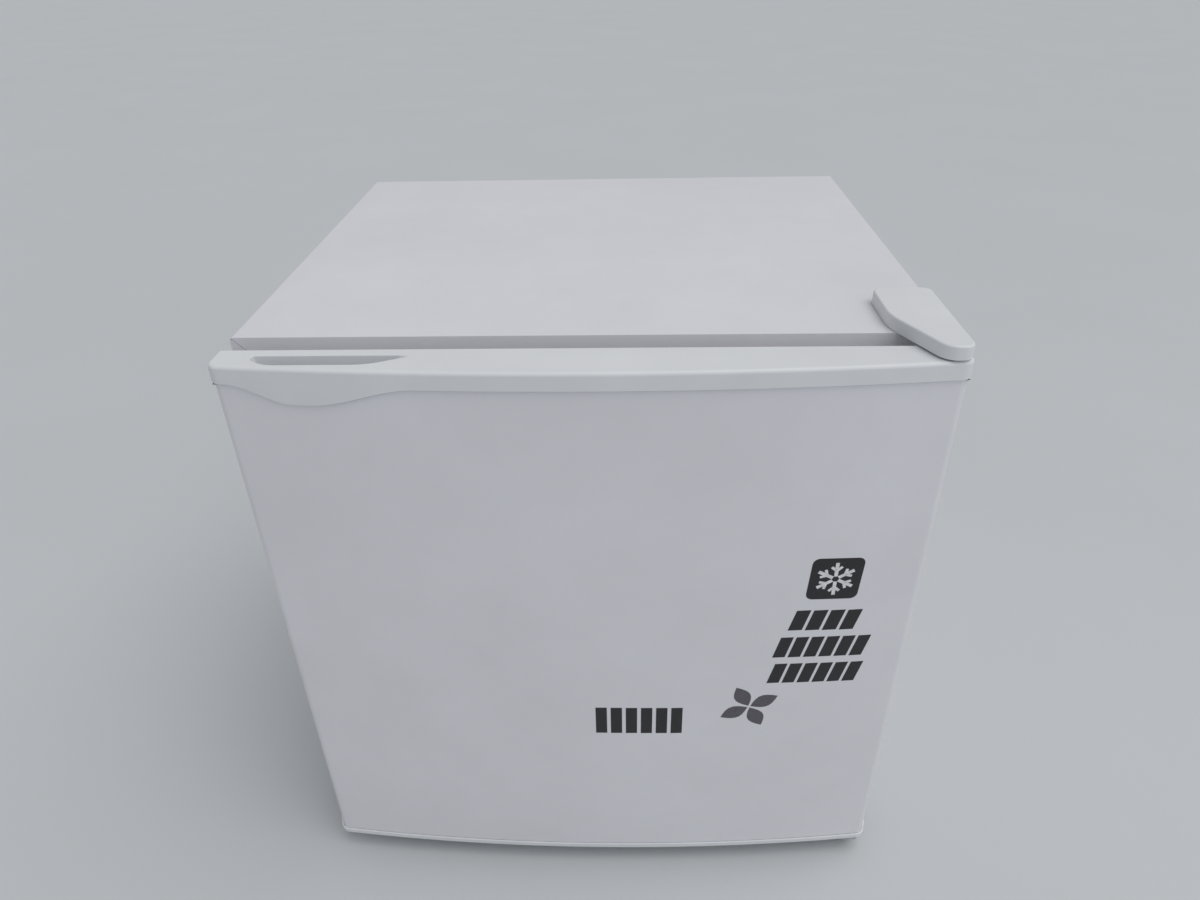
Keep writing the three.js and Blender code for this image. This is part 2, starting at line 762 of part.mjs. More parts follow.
const gripLeft = -doorHalf + gripFromEdge;
const gripFront = faceY(gripLeft + 11) + gripLip;
const gripBack = gripFront + gripReach;
const gripFloor = doorTop - gripDepth;

// The finger grip from above: square at the back, slanted at both ends.
const gripOutline = [
  [gripLeft + 11, gripFront],
  [gripLeft + gripWidth - 19, gripFront],
  [gripLeft + gripWidth, gripBack],
  [gripLeft, gripBack],
  [gripLeft, gripFront + 8],
];

// The dip in the top cap's lower edge in front of the grip, in X and Z, moved up.
function apronShape(up, top) {
  const start = gripLeft - 14;
  const low = gripLeft + 28;
  const rise = gripLeft + 44;
  const end = gripLeft + gripWidth + 8;
  const line = seamZ + up;
  const shape = new THREE.Shape();
  shape.moveTo(start, top);
  shape.lineTo(start, line);
  shape.bezierCurveTo((start + low) / 2, line, (start + low) / 2, line - apronDrop, low, line - apronDrop);
  shape.lineTo(rise, line - apronDrop);
  shape.bezierCurveTo((rise + end) / 2, line - apronDrop, (rise + end) / 2, line, end, line);
  shape.lineTo(end, top);
  shape.closePath();
  return shape;
}

function topCap() {
  const block = slab(doorPlan(0), seamZ, doorTop);
  const hollow = slab(doorPlan(capWall, doorBack - capWall), seamZ - 1, doorTop - capPlate);
  const ring = cut(
    slab(doorPlan(0, doorBack - doorEdge / 2), seamZ - apronDrop - 2, seamZ + 1),
    slab(doorPlan(capWall), seamZ - apronDrop - 3, seamZ + 2),
  );
  const apron = common(ring, wallShape(apronShape(0, seamZ + 0.5), doorFront - 5, doorBack));
  const pocket = slab(rounded(inset(gripOutline, -capWall), 3), gripFloor - capWall, doorTop - 1, 3);
  const grip = slab(rounded(gripOutline, 2), gripFloor, doorTop + 1, 3);
  const bushHole = rod([hingeX, hingeY, seamZ], [hingeX, hingeY, doorTop + 1], bushRadius + clearance, 24);
  return cut(join(cut(block, hollow), apron, pocket), grip, bushHole);
}

function bottomCap() {
  const block = slab(doorPlan(0), doorBottom, doorBottom + bottomCapFace);
  const hollow = slab(doorPlan(capWall, doorBack - capWall), doorBottom + capPlate, doorBottom + bottomCapFace + 1);
  const bore = bushRadius + clearance;
  const bushHole = rod([hingeX, hingeY, doorBottom - 1], [hingeX, hingeY, doorBottom + 6], bore, 24);
  return cut(block, hollow, bushHole);
}

const skinBack = doorBack - capWall - clearance;

function doorSkin() {
  const z0 = doorBottom + capPlate + clearance;
  const z1 = seamZ + capLap;
  const ring = cut(slab(doorPlan(skinInset, skinBack), z0, z1), slab(doorPlan(skinInset + sheet), z0 - 1, z1 + 1));
  return cut(ring, wallShape(apronShape(capLap, z1 + 5), doorFront - 5, doorBack - doorEdge / 2));
}

// The raised frame on the inside of the door, between an outer and an inner rectangle, shrunk by a wall.
function ridge(shrink, y0, y1) {
  const wide = box(-ridgeHalf + shrink, ridgeHalf - shrink, y0, y1, ridgeBottom + shrink, ridgeTop - shrink);
  const width = ridgeWidth - shrink;
  const open = box(
    -ridgeHalf + width,
    ridgeHalf - width,
    y0 - 1,
    y1 + 1,
    ridgeBottom + width,
    ridgeTop - width,
  );
  return cut(wide, open);
}

const binHalf = ridgeHalf - ridgeWidth - 0.8;
const lowerBinZ = ridgeBottom + ridgeWidth + 4;
const upperBinZ = floorZ + upperBinFromFloor;
const binBack = doorBack + 0.7;
const boss = { y0: binBack + 5, y1: binBack + 17, height: 8, rise: 18 };

function doorLiner() {
  const low = doorBottom + bottomCapFace + clearance;
  const side = doorHalf - skinInset;
  const plate = box(-side, side, doorBack - capWall, doorBack, low, seamZ - clearance);
  const shell = cut(
    join(plate, ridge(0, doorBack - capWall, ridgeFace)),
    ridge(doorLinerWall, doorBack - capWall - 1, ridgeFace - doorLinerWall),
  );
  const bosses = [lowerBinZ, upperBinZ].flatMap((z) =>
    [-1, 1].map((sign) => {
      const outer = ridgeHalf - ridgeWidth + doorLinerWall / 2;
      const inner = ridgeHalf - ridgeWidth - bossReach;
      const [x0, x1] = sign > 0 ? [inner, outer] : [-outer, -inner];
      return box(x0, x1, boss.y0, boss.y1, z + boss.rise, z + boss.rise + boss.height);
    }),
  );
  return join(shell, ...bosses);
}

function doorFoam() {
  const z0 = doorBottom + capPlate + clearance;
  const z1 = doorTop - capPlate - clearance;
  const block = slab(doorPlan(foamInset, skinBack), z0, z1);
  const filled = ridge(doorLinerWall + clearance, skinBack - 2, ridgeFace - doorLinerWall - clearance);
  const outline = inset(gripOutline, -capWall - clearance);
  const pocket = slab(polygon(outline), gripFloor - capWall - clearance, z1 + 5);
  const reach = bushLength + clearance;
  const topHole = rod([hingeX, hingeY, doorTop - reach], [hingeX, hingeY, doorTop], bushRadius + clearance, 16);
  const lowHole = rod([hingeX, hingeY, doorBottom], [hingeX, hingeY, doorBottom + reach], bushRadius + clearance, 16);
  return cut(join(block, filled), pocket, topHole, lowHole);
}

// A rectangular ring of seal, narrow at the door and wide at the cabinet.
function gasket() {
  const outerHalf = half - gasketInset;
  const low = baseZ + gasketInset + 2;
  const high = topZ - gasketInset - 2;
  const bellowsEnd = doorBack + gasketDepth * 0.5;
  const plate = (edge, y0, y1) => box(-outerHalf + edge, outerHalf - edge, y0, y1, low + edge, high - edge);
  const ring = (edge, width, y0, y1) => cut(plate(edge, y0, y1), plate(edge + width, y0 - 1, y1 + 1));
  return join(
    ring(3, gasketWidth - 6, doorBack + clearance, bellowsEnd + 1),
    ring(0, gasketWidth, bellowsEnd, frontY - clearance),
  );
}

// An open-topped bin that hangs on the bosses of the door's ridges.
function bin(height) {
  const outline = [
    [-binHalf, binBack],
    [-binHalf + binTaper, binBack + binDepth],
    [binHalf - binTaper, binBack + binDepth],
    [binHalf, binBack],
  ].reverse();
  const hull = slab(rounded(outline, binCorner), 0, height, 4);
  const hollow = slab(rounded(inset(outline, binWall), binCorner - binWall), binWall, height + 1, 4);
  const pads = [-1, 1].map((side) => {
    const outer = binHalf - 1.5;
    const inner = binHalf - binWall - bossReach;
    const [x0, x1] = side > 0 ? [inner, outer] : [-outer, -inner];
    return box(x0, x1, boss.y0 - 3, boss.y1 + 3, 1, height);
  });
  const slots = [-1, 1].map((side) => {
    const inner = binHalf - bossReach - 0.5;
    const [x0, x1] = side > 0 ? [inner, binHalf + 2] : [-binHalf - 2, -inner];
    return box(x0, x1, boss.y0 - 0.6, boss.y1 + 0.6, -1, boss.rise + boss.height + clearance);
  });
  return cut(join(cut(hull, hollow), ...pads), ...slots);
}

add("door_skin", doorSkin(), whiteSteel, [0, 0, 0], door);
add("door_top_cap", topCap(), whiteCap, [0, 0, 0], door);
add("door_bottom_cap", bottomCap(), whiteCap, [0, 0, 0], door);
add("door_foam", doorFoam(), foamYellow, [0, 0, 0], door);
add("door_inner_liner", doorLiner(), whiteLiner, [0, 0, 0], door);
add("door_gasket", gasket(), sealGrey, [0, 0, 0], door);
add("top_hinge_bush", hingeBush().rotateX(Math.PI), nylon, [hingeX, hingeY, doorTop], door);
add("bottom_hinge_bush", hingeBush(), nylon, [hingeX, hingeY, doorBottom], door);
add("lower_door_bin", bin(lowerBinHeight), clearPlastic, [0, 0, lowerBinZ], door);
add("upper_door_bin", bin(upperBinHeight), clearPlastic, [0, 0, upperBinZ], door);

// ---- Ice box, drip tray and shelf ----

const iceLeft = -cavityHalf + 10;
const iceRight = iceLeft + iceBoxWidth;
const iceTop = ceilingZ - hangerHeight;
const iceBottom = iceTop - iceBoxHeight;
const iceFront = frontY + iceBoxFromFront;
const iceBack = iceFront + iceBoxDepth;

// A folded aluminium sleeve that hangs from the ceiling on two pads.
function evaporator() {
  const sleeve = box(iceLeft, iceRight, iceFront, iceBack, iceBottom, iceTop);
  const pads = [0.2, 0.8].map((share) => {
    const x = iceLeft + iceBoxWidth * share;
    return box(x - 9, x + 9, iceFront + 30, iceBack - 30, iceTop - 0.5, ceilingZ - clearance);
  });
  return cut(
    join(sleeve, ...pads),
    box(
      iceLeft + iceBoxWall,
      iceRight - iceBoxWall,
      iceFront - 1,
      iceBack - iceBoxWall,
      iceBottom + iceBoxWall,
      iceTop - iceBoxWall,
    ),
  );
}

const bezelBack = iceFront - clearance;
const bezelFront = bezelBack - bezelDepth;
const flapAxis = { y: bezelFront - 4.2, z: iceTop - 4 };
const lugWidth = 4;
const flapPin = 2;
const flapLow = iceBottom + 2;
const flapPull = { side: 90, reach: 8, height: 4 };

function iceBoxFlap() {
  const x0 = iceLeft - 3 + lugWidth + 1;
  const x1 = iceRight + 3 - lugWidth - 1;
  const { y, z } = flapAxis;
  const panel = box(x0, x1, y - flapThickness / 2, y + flapThickness / 2, flapLow, z + 2.5);
  const pull = box(
    x0 + flapPull.side,
    x1 - flapPull.side,
    y - flapPull.reach,
    y - flapThickness / 2 + 0.5,
    flapLow,
    flapLow + flapPull.height,
  );
  const pins = rod([x0 - lugWidth, y, z], [x1 + lugWidth, y, z], flapPin, 12);
  return join(panel, pull, pins);
}

const runner = { drop: 22, lip: 8, wall: 2 };
const runnerTop = iceBottom - clearance;
const runnerLow = runnerTop - runner.drop;

// A channel under one side of the ice box that carries an edge of the drip tray.
function trayRunner(side) {
  const { lip, wall } = runner;
  const outer = side < 0 ? iceLeft : iceRight;
  const at = (a, b) => (side < 0 ? [outer + a, outer + b] : [outer - b, outer - a]);
  const y0 = iceFront + 2;
  const y1 = iceBack - 8;
  return join(
    box(...at(0, wall), bezelFront + 0.5, y1, runnerLow, runnerTop),
    box(...at(0, wall + lip), y0, y1, runnerLow, runnerLow + wall),
    box(...at(0, wall + lip), y0, y1, runnerTop - wall, runnerTop),
  );
}

// The moulded front of the ice box: a bezel, two lugs for the flap's pins and the tray's two runners.
function iceBoxFrame() {
  const rim = box(iceLeft - 3, iceRight + 3, bezelFront, bezelBack, iceBottom - 2, iceTop + 3);
  const opening = box(
    iceLeft + bezelRim,
    iceRight - bezelRim,
    bezelFront - 1,
    bezelBack + 1,
    iceBottom + bezelRim,
    iceTop - bezelRim,
  );
  const lugs = [iceLeft - 3, iceRight + 3 - lugWidth].map((x) =>
    box(x, x + lugWidth, flapAxis.y - 5, bezelFront + 0.5, flapAxis.z - 5, flapAxis.z + 5),
  );
  const bore = rod([iceLeft - 10, flapAxis.y, flapAxis.z], [iceRight + 10, flapAxis.y, flapAxis.z], flapPin + 0.35);
  return cut(join(cut(rim, opening), ...lugs, trayRunner(-1), trayRunner(1)), bore);
}

function dripTray() {
  const rimZ = runnerLow + runner.wall + clearance;
  const rimLeft = iceLeft + runner.wall + 0.6;
  const rimRight = iceRight - runner.wall - 0.6;
  const bodyLeft = iceLeft + runner.wall + runner.lip + 1;
  const bodyRight = iceRight - runner.wall - runner.lip - 1;
  const y0 = iceFront - 1;
  const y1 = iceBack - 10;
  const rimTop = rimZ + trayWall;
  const rim = box(rimLeft, rimRight, y0, y1, rimZ, rimTop);
  const body = box(bodyLeft, bodyRight, y0, y1, rimTop - trayDepth, rimTop);
  const front = box(rimLeft, rimRight, y0 - 2, y0 + trayWall, rimTop - trayDepth, iceBottom - 3);
  const inside = box(
    bodyLeft + trayWall,
    bodyRight - trayWall,
    y0 + trayWall,
    y1 - trayWall,
    rimTop - trayDepth + trayWall,
    rimTop + 1,
  );
  return cut(join(rim, body, front), inside);
}

const shelf = { play: 0.8, front: 87, back: 12, spacing: 24, wire: 1.4, brace: shelfWire * 0.8 };

// A welded wire shelf that slides on the liner's ledges.
function wireShelf() {
  const x = cavityHalf - shelf.play - shelfWire;
  const y0 = frontY + shelf.front;
  const y1 = cavityBack - shelf.back;
  const frame = [
    rod([-x, y0, 0], [x, y0, 0], shelfWire, 8),
    rod([-x, y1, 0], [x, y1, 0], shelfWire, 8),
    rod([-x, y0 - shelfWire, 0], [-x, y1 + shelfWire, 0], shelfWire, 8),
    rod([x, y0 - shelfWire, 0], [x, y1 + shelfWire, 0], shelfWire, 8),
    rod([-x, (y0 + y1) / 2, 0], [x, (y0 + y1) / 2, 0], shelf.brace, 8),
  ];
  const { spacing, wire } = shelf;
  const count = Math.floor((2 * x - spacing) / spacing);
  const wireZ = shelf.brace + 0.6;
  for (let i = 0; i <= count; i++) {
    const wx = (i - count / 2) * spacing;
    frame.push(rod([wx, y0 - 1, wireZ], [wx, y1 + 1, wireZ], wire, 6));
  }
  return join(...frame);
}

add("evaporator", evaporator(), aluminium, [0, 0, 0], interior);
add("ice_box_frame", iceBoxFrame(), whiteCap, [0, 0, 0], interior);
add("ice_box_flap", iceBoxFlap(), clearPlastic, [0, 0, 0], interior);
add("drip_tray", dripTray(), clearPlastic, [0, 0, 0], interior);
add("wire_shelf", wireShelf(), whiteCap, [0, 0, shelfZ], interior);

// ---- Thermostat ----

const stat = {
  x0: iceRight + 26,
  x1: cavityHalf - clearance,
  y0: frontY + 118,
  y1: frontY + 190,
  z0: ceilingZ - 76,
  z1: ceilingZ - 14,
  wall: 2,
};
const dial = { x: (stat.x0 + stat.x1) / 2, z: (stat.z0 + stat.z1) / 2, radius: 17, depth: 13, shaft: 3 };
const bulbPlace = { y: stat.y0 + 45, z: dial.z - 12 };

function thermostatHousing() {
  const { x0, x1, y0, y1, z0, z1, wall } = stat;
  const outline = (grow) => rectangle(x0 + grow, x1 - grow, z0 + grow, z1 - grow);
  return cut(
    wallShape(rounded(outline(0), 6), y0, y1, 3),
    wallShape(rounded(outline(wall), 5), y0 + wall, y1 + 1, 3),
    rod([dial.x, y0 - 1, dial.z], [dial.x, y0 + 5, dial.z], dial.shaft + 0.6),
    rod([x0 - 1, bulbPlace.y, bulbPlace.z], [x0 + 4, bulbPlace.y, bulbPlace.z], 2.4, 10),
  );
}

function thermostatSwitch() {
  const { y0, wall } = stat;
  const size = 15;
  const front = y0 + wall + 0.5;
  const body = box(dial.x - size, dial.x + size, front, front + 26, dial.z - size, dial.z + size);
  const bore = rod([dial.x, front - 1, dial.z], [dial.x, front + 12, dial.z], dial.shaft + 0.35);
  return cut(body, bore);
}

// The dial: a knob with a raised grip bar across its face, on the shaft that turns the switch.
function thermostatKnob() {
  const back = stat.y0 - 0.8;
  const front = back - dial.depth;
  const disc = rod([dial.x, back, dial.z], [dial.x, back - 5, dial.z], dial.radius, 28);
  const hub = rod([dial.x, back - 4, dial.z], [dial.x, front, dial.z], dial.radius * 0.72, 24);
  const reach = dial.radius - 2;
  const bar = box(dial.x - 2.5, dial.x + 2.5, front - 2, back - 4, dial.z - reach, dial.z + reach);
  const shaft = rod([dial.x, back - 1, dial.z], [dial.x, stat.y0 + stat.wall + 10, dial.z], dial.shaft);
  return join(disc, hub, bar, shaft);
}

// The sensing tube from the switch to the side of the evaporator.
function thermostatBulb() {
  const { y, z } = bulbPlace;
  const reach = iceRight + 1.2 + clearance;
  return pipe(
    [
      [stat.x0 + 1.5, y, z],
      [reach, y, z],
      [reach, iceBack - 40, z],
    ],
    8,
    1.2,
    6,
  );
}

add("thermostat_housing", thermostatHousing(), whiteCap, [0, 0, 0], interior);
add("thermostat_switch", thermostatSwitch(), blackPlastic, [0, 0, 0], interior);
add("thermostat_knob", thermostatKnob(), whiteCap, [0, 0, 0], interior);
add("thermostat_bulb", thermostatBulb(), copper, [0, 0, 0], interior);

// ---- Cooling circuit ----

const shellZ = mountZ + grommet.plate + clearance;
const portX = compressorX - compressorRadius * compressorStretch - 14;
const portZ = shellZ + compressorHeight * 0.55;
const suctionPortZ = shellZ + compressorHeight * 0.72;

// The sealed steel shell: two pressed halves that lap at a seam, with two short pipe stubs.
function compressorShell() {
  const r = compressorRadius;
  const h = compressorHeight;
  const profile = [
    [0, 0],
    [r * 0.55, h * 0.015],
    [r * 0.84, h * 0.1],
    [r * 0.96, h * 0.26],
    [r, h * 0.46],
    [r * seamSwell, h * 0.47],
    [r * seamSwell, h * 0.52],
    [r, h * 0.53],
    [r * 0.94, h * 0.74],
    [r * 0.76, h * 0.9],
    [r * 0.42, h * 0.985],
    [0, h],
  ];
  const shell = turned(profile, 28).scale(compressorStretch, 1, 1).translate(compressorX, compressorY, shellZ);
  const stub = (y, z, radius) => rod([compressorX - r * 0.7, y, z], [portX + clearance, y, z], radius + 0.8, 12);
  return join(
    shell,
    stub(coil.feed, portZ, pipeRadius),
    stub(suctionPlace[1], suctionPortZ, suctionRadius),
  );
}

function compressorMount() {
  const reachX = mountX + 13;
  const reachY = mountY + 13;
  const outline = rectangle(compressorX - reachX, compressorX + reachX, compressorY - reachY, compressorY + reachY);
  const bore = grommet.neck + clearance;
  const holes = mountPlaces.map(([x, y]) => rod([x, y, mountZ - 1], [x, y, mountZ + 5], bore, 14));
  return cut(slab(rounded(outline, 12), mountZ, mountZ + grommet.plate, 4), ...holes);
}

function mountGrommet() {
  const { height, radius, neck, plate, lip, bore } = grommet;
  const waist = height + clearance + plate + clearance;
  const profile = [
    [bore, 0],
    [radius, 0],
    [radius, height],
    [neck, height],
    [neck, waist],
    [lip, waist],
    [neck, waist + 4],
    [bore, waist + 4],
    [bore, 0],
  ];
  return turned(profile, 14);
}

const relay = { width: 34, depth: 52, height: 58, corner: 6, rise: compressorHeight * 0.3 };

function relayCover() {
  const x0 = compressorX + compressorRadius * seamSwell * compressorStretch + 0.6;
  const y0 = compressorY - relay.depth / 2;
  const z0 = shellZ + relay.rise;
  return slab(rounded(rectangle(x0, x0 + relay.width, y0, y0 + relay.depth), relay.corner), z0, z0 + relay.height, 3);
}

// Hot gas from the compressor to the left condenser pipe.
const dischargeLine = () =>
  pipe(
    [
      [portX, coil.feed, portZ],
      [-coilX, coil.feed, portZ],
      [-coilX, coil.feed, coilTailZ - clearance],
    ],
    12,
    pipeRadius,
  );

// Cold gas back to the compressor, out of the insulation.
const suctionLine = () =>
  pipe(
    [
      [portX, suctionPlace[1], suctionPortZ],
      [suctionPlace[0], suctionPlace[1], suctionPortZ],
      [suctionPlace[0], suctionPlace[1], bayTop + 20],
    ],
    14,
    suctionRadius,
  );

// The pipe under the bay's ceiling that joins the two condenser pipes.
const bridgeZ = bayTop - 18;
const condenserBridge = () =>
  pipe(
    [
      [-coilX, coil.drop, coilTailZ - clearance],
      [-coilX, coil.drop, bridgeZ],
      [coilX, coil.drop, bridgeZ],
      [coilX, coil.drop, coilTailZ - clearance],
    ],
    7,
    pipeRadius,
  );

const drier = { x: half - 85, y: coil.feed, z0: bayTop - 120, z1: bayTop - 40, radius: 9.5, neck: 3.2 };

function filterDrier() {
  const length = drier.z1 - drier.z0;
  return turned(
    [
      [0, 0],
      [drier.neck, 0],
      [drier.neck, 6],
      [drier.radius, 16],
      [drier.radius, length - 16],
      [drier.neck, length - 6],
      [drier.neck, length],
      [0, length],
    ],
    16,
  );
}

const liquidLine = () =>
  pipe(
    [
      [coilX, coil.feed, coilTailZ - clearance],
      [coilX, coil.feed, drier.z1 + 14],
      [drier.x, drier.y, drier.z1 + 14],
      [drier.x, drier.y, drier.z1 + clearance],
    ],
    8,
    pipeRadius,
  );

// The fine tube that meters the refrigerant, from the drier up into the insulation.
const capillaryTube = () =>
  pipe(
    [
      [drier.x, drier.y, drier.z0 - clearance],
      [drier.x, drier.y, drier.z0 - 22],
      [capillaryPlace[0] - 24, drier.y, drier.z0 - 22],
      [capillaryPlace[0] - 24, capillaryPlace[1], drier.z0 + 20],
      [capillaryPlace[0], capillaryPlace[1], drier.z0 + 40],
      [capillaryPlace[0], capillaryPlace[1], bayTop + 20],
    ],
    9,
    capillaryRadius,
    6,
  );

for (const [side, sign] of [["left", -1], ["right", 1]]) {
  add("condenser_pipe_" + side, pipe(coilCorners(sign), 9, pipeRadius, 6, 2), copper, [0, 0, 0], cooling);
}
add("condenser_bridge", condenserBridge(), copper, [0, 0, 0], cooling);
add("compressor_shell", compressorShell(), blackSteel, [0, 0, 0], cooling);
add("compressor_mount", compressorMount(), blackSteel, [0, 0, 0], cooling);
mountPlaces.forEach(([x, y], i) => {
  add("compressor_grommet_" + (i + 1), mountGrommet(), rubber, [x, y, plateTop + clearance], cooling);
});
add("relay_cover", relayCover(), blackPlastic, [0, 0, 0], cooling);
add("discharge_line", dischargeLine(), copper, [0, 0, 0], cooling);
add("suction_line", suctionLine(), copper, [0, 0, 0], cooling);
add("filter_drier", filterDrier(), copper, [drier.x, drier.y, drier.z0], cooling);
add("liquid_line", liquidLine(), copper, [0, 0, 0], cooling);
add("capillary_tube", capillaryTube(), copper, [0, 0, 0], cooling);

export default fridge;
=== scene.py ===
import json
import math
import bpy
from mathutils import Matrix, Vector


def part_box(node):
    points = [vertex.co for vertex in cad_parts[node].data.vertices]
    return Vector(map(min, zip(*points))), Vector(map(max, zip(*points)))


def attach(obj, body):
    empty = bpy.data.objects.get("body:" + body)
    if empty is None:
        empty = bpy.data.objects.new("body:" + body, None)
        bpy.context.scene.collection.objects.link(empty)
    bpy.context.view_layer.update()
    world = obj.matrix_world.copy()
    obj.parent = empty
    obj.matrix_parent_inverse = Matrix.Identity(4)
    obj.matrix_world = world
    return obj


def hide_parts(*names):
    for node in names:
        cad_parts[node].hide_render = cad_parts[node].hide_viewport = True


bl_info = {
    "name": "Table-top refrigerator",
    "version": (1, 0, 0),
    "blender": (4, 5, 0),
    "location": "View3D > Sidebar > Fridge",
    "description": "Builds a small bow-fronted refrigerator, inside and out, round its fixed frame",
    "category": "Add Mesh",
}

import bmesh
import bpy
from bpy.props import FloatProperty, PointerProperty, StringProperty
from mathutils import Matrix, Vector

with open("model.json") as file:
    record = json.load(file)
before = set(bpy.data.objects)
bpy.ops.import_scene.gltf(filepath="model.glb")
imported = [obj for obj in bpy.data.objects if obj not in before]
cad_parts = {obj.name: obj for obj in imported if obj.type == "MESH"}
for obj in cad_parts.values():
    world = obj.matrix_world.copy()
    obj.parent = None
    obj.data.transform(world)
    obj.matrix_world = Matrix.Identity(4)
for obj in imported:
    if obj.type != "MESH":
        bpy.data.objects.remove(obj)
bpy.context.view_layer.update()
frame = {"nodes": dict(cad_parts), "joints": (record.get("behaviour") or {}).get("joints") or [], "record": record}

MM = 0.001
TINY = 1e-6  # in metres: two places closer than this are one

# ---- Places that the frame gives ----

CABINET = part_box("cabinet_wrap")
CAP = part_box("door_top_cap")
LOW_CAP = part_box("door_bottom_cap")
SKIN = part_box("door_skin")
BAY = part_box("compressor_bay_sheet")
HALF = CABINET[1].x
TOP = CABINET[1].z
BASE = CABINET[0].z
FRONT = CABINET[0].y
BACK = CABINET[1].y
DOOR_HALF = CAP[1].x
DOOR_BACK = CAP[1].y
DOOR_FRONT = CAP[0].y
DOOR_TOP = CAP[1].z
DOOR_LOW = LOW_CAP[0].z
CAP_PROUD = SKIN[0].y - DOOR_FRONT

# ---- Sizes that go with the frame's, and the places that follow from them ----

STEEL = 0.8 * MM
GAP = 0.3 * MM
SIDE_FOAM = 37 * MM
FLOOR_FOAM = 34 * MM
STEP_FOAM = 31 * MM  # over and in front of the compressor bay
LINER_SHEET = 1.5 * MM
BOW = 13 * MM  # how far the middle of the door stands in front of its sides
BOW_RADIUS = (DOOR_HALF**2 + BOW**2) / (2 * BOW)
BOW_CENTRE = DOOR_FRONT + BOW_RADIUS + 0.01 * MM  # a hair inside the frame's box
SEAM = DOOR_TOP - 12.5 * MM  # where the top cap meets the door's steel front
RETURNS = DOOR_BACK - 15 * MM  # the bowed front lies before this, the door's straight sides behind it
CAVITY_HALF = HALF - STEEL - SIDE_FOAM - LINER_SHEET
CAVITY_FLOOR = BASE + STEEL + FLOOR_FOAM + LINER_SHEET
CAVITY_CEILING = TOP - STEEL - SIDE_FOAM - LINER_SHEET
CAVITY_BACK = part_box("inner_liner")[1].y - LINER_SHEET


def door_face_y(x, inwards=0.0):
    """Where the bowed front of the door is at some place across."""
    return BOW_CENTRE - math.sqrt((BOW_RADIUS - inwards) ** 2 - x**2)


# ---- Sizes and colours that a user may change ----


def length(name, default, description):
    """A size given in millimetres."""
    return FloatProperty(
        name=name, default=default * MM, description=description, unit="LENGTH", subtype="DISTANCE"
    )


def colour(name, default, description):
    """A colour given as an sRGB hex value."""
    return StringProperty(name=name, default=default, description=description + ", as an sRGB hex value")


class FridgeSizes(bpy.types.PropertyGroup):
    """Sizes of what the moulder and the press shop add to the frame."""

    sheet_bend: length("Sheet bend", 2.2, "Outer radius of the folds in the painted steel")
    flange: length("Front flange", 30, "Width of the cabinet's steel front face")
    mitre: length("Mitre gap", 0.7, "Width of the slot where the front flanges meet")
    corner: length("Door corner", 7, "Radius of the door's upright front corners")
    cap_edge: length("Cap edge", 2.6, "Radius of the top cap's rim")
    apron: length("Apron", 12.5, "How far the top cap's lower edge dips in front of the grip")
    grip_depth: length("Grip depth", 18, "Depth of the finger grip")
    cover_edge: length("Cover edge", 1.4, "Radius of the hinge cover's rim")
    tub_corner: length("Liner corner", 12, "Radius in the corners of the vacuum-formed liner")
    ridge_edge: length("Ridge edge", 6, "Radius of the door liner's ridges")
    lens: FloatProperty(name="Lens", default=25.44, description="Focal length in mm on a 36 mm sensor")


class FridgeColours(bpy.types.PropertyGroup):
    """Colours of the finishes."""

    enamel: colour("Enamel", "dedee3", "Stoved white enamel on the steel")
    cap: colour("Caps", "dddfe1", "Moulded white ABS")
    liner: colour("Liner", "eceef0", "Vacuum-formed white polystyrene")
    seal: colour("Seal", "d0d1cf", "Soft PVC seal")
    print_dark: colour("Dark print", "1d1c20", "Black vinyl decal")
    print_grey: colour("Grey print", "56535a", "Grey vinyl decal")
    floor: colour("Floor", "c6c9cb", "Studio floor")


# ---- Colours and nodes ----


def linear(hex_value, alpha=1.0):
    """An sRGB hex colour as linear RGBA."""
    parts = [int(hex_value[i : i + 2], 16) / 255 for i in (0, 2, 4)]
    return (*[p / 12.92 if p <= 0.04045 else ((p + 0.055) / 1.055) ** 2.4 for p in parts], alpha)


def per(size_mm):
    """The scale of a pattern whose features are some millimetres across."""
    return 1 / (size_mm * MM)


def add(tree, kind, inputs=None, **settings):
    """Adds a node, sets it up and links or fills its inputs."""
    node = tree.nodes.new(kind)
    for key, value in settings.items():
        setattr(node, key, value)
    for key, value in (inputs or {}).items():
        if isinstance(value, bpy.types.NodeSocket):
            tree.links.new(value, node.inputs[key])
        else:
            node.inputs[key].default_value = value
    return node


def ramp(tree, factor, stops):
    """Colours over a factor: stops are (position, linear colour)."""
    node = add(tree, "ShaderNodeValToRGB", {"Fac": factor})
    elements = node.color_ramp.elements
    for i, (position, shade) in enumerate(stops):
        element = elements[i] if i < 2 else elements.new(position)
        element.position = position
        element.color = shade
    return node.outputs["Color"]


def start(name):
    """A new material and its node tree, shader and position in the piece's own space."""
    material = bpy.data.materials.new(name)
    material.use_nodes = True
    tree = material.node_tree
    shader = tree.nodes["Principled BSDF"]
    place = add(tree, "ShaderNodeTexCoord").outputs["Object"]
    return material, tree, shader, place


def drive(tree, shader, **sockets):
    """Links outputs to the shader's inputs, named with underscores for spaces."""
    for key, value in sockets.items():
        tree.links.new(value, shader.inputs[key.replace("_", " ")])


def spread(tree, factor, low, high):
    """A factor mapped to a range."""
    node = add(tree, "ShaderNodeMapRange", {"Value": factor, "To Min": low, "To Max": high})
    return node.outputs["Result"]


def noise(tree, place, size_mm, detail=3.0, roughness=0.5):
    """Clouds some millimetres across."""
    inputs = {"Vector": place, "Scale": per(size_mm), "Detail": detail, "Roughness": roughness}
    return add(tree, "ShaderNodeTexNoise", inputs).outputs["Fac"]


def bump(tree, height, distance_mm, strength=1.0):
    """A normal that follows a height."""
    inputs = {"Height": height, "Distance": distance_mm * MM, "Strength": strength}
    return add(tree, "ShaderNodeBump", inputs).outputs["Normal"]


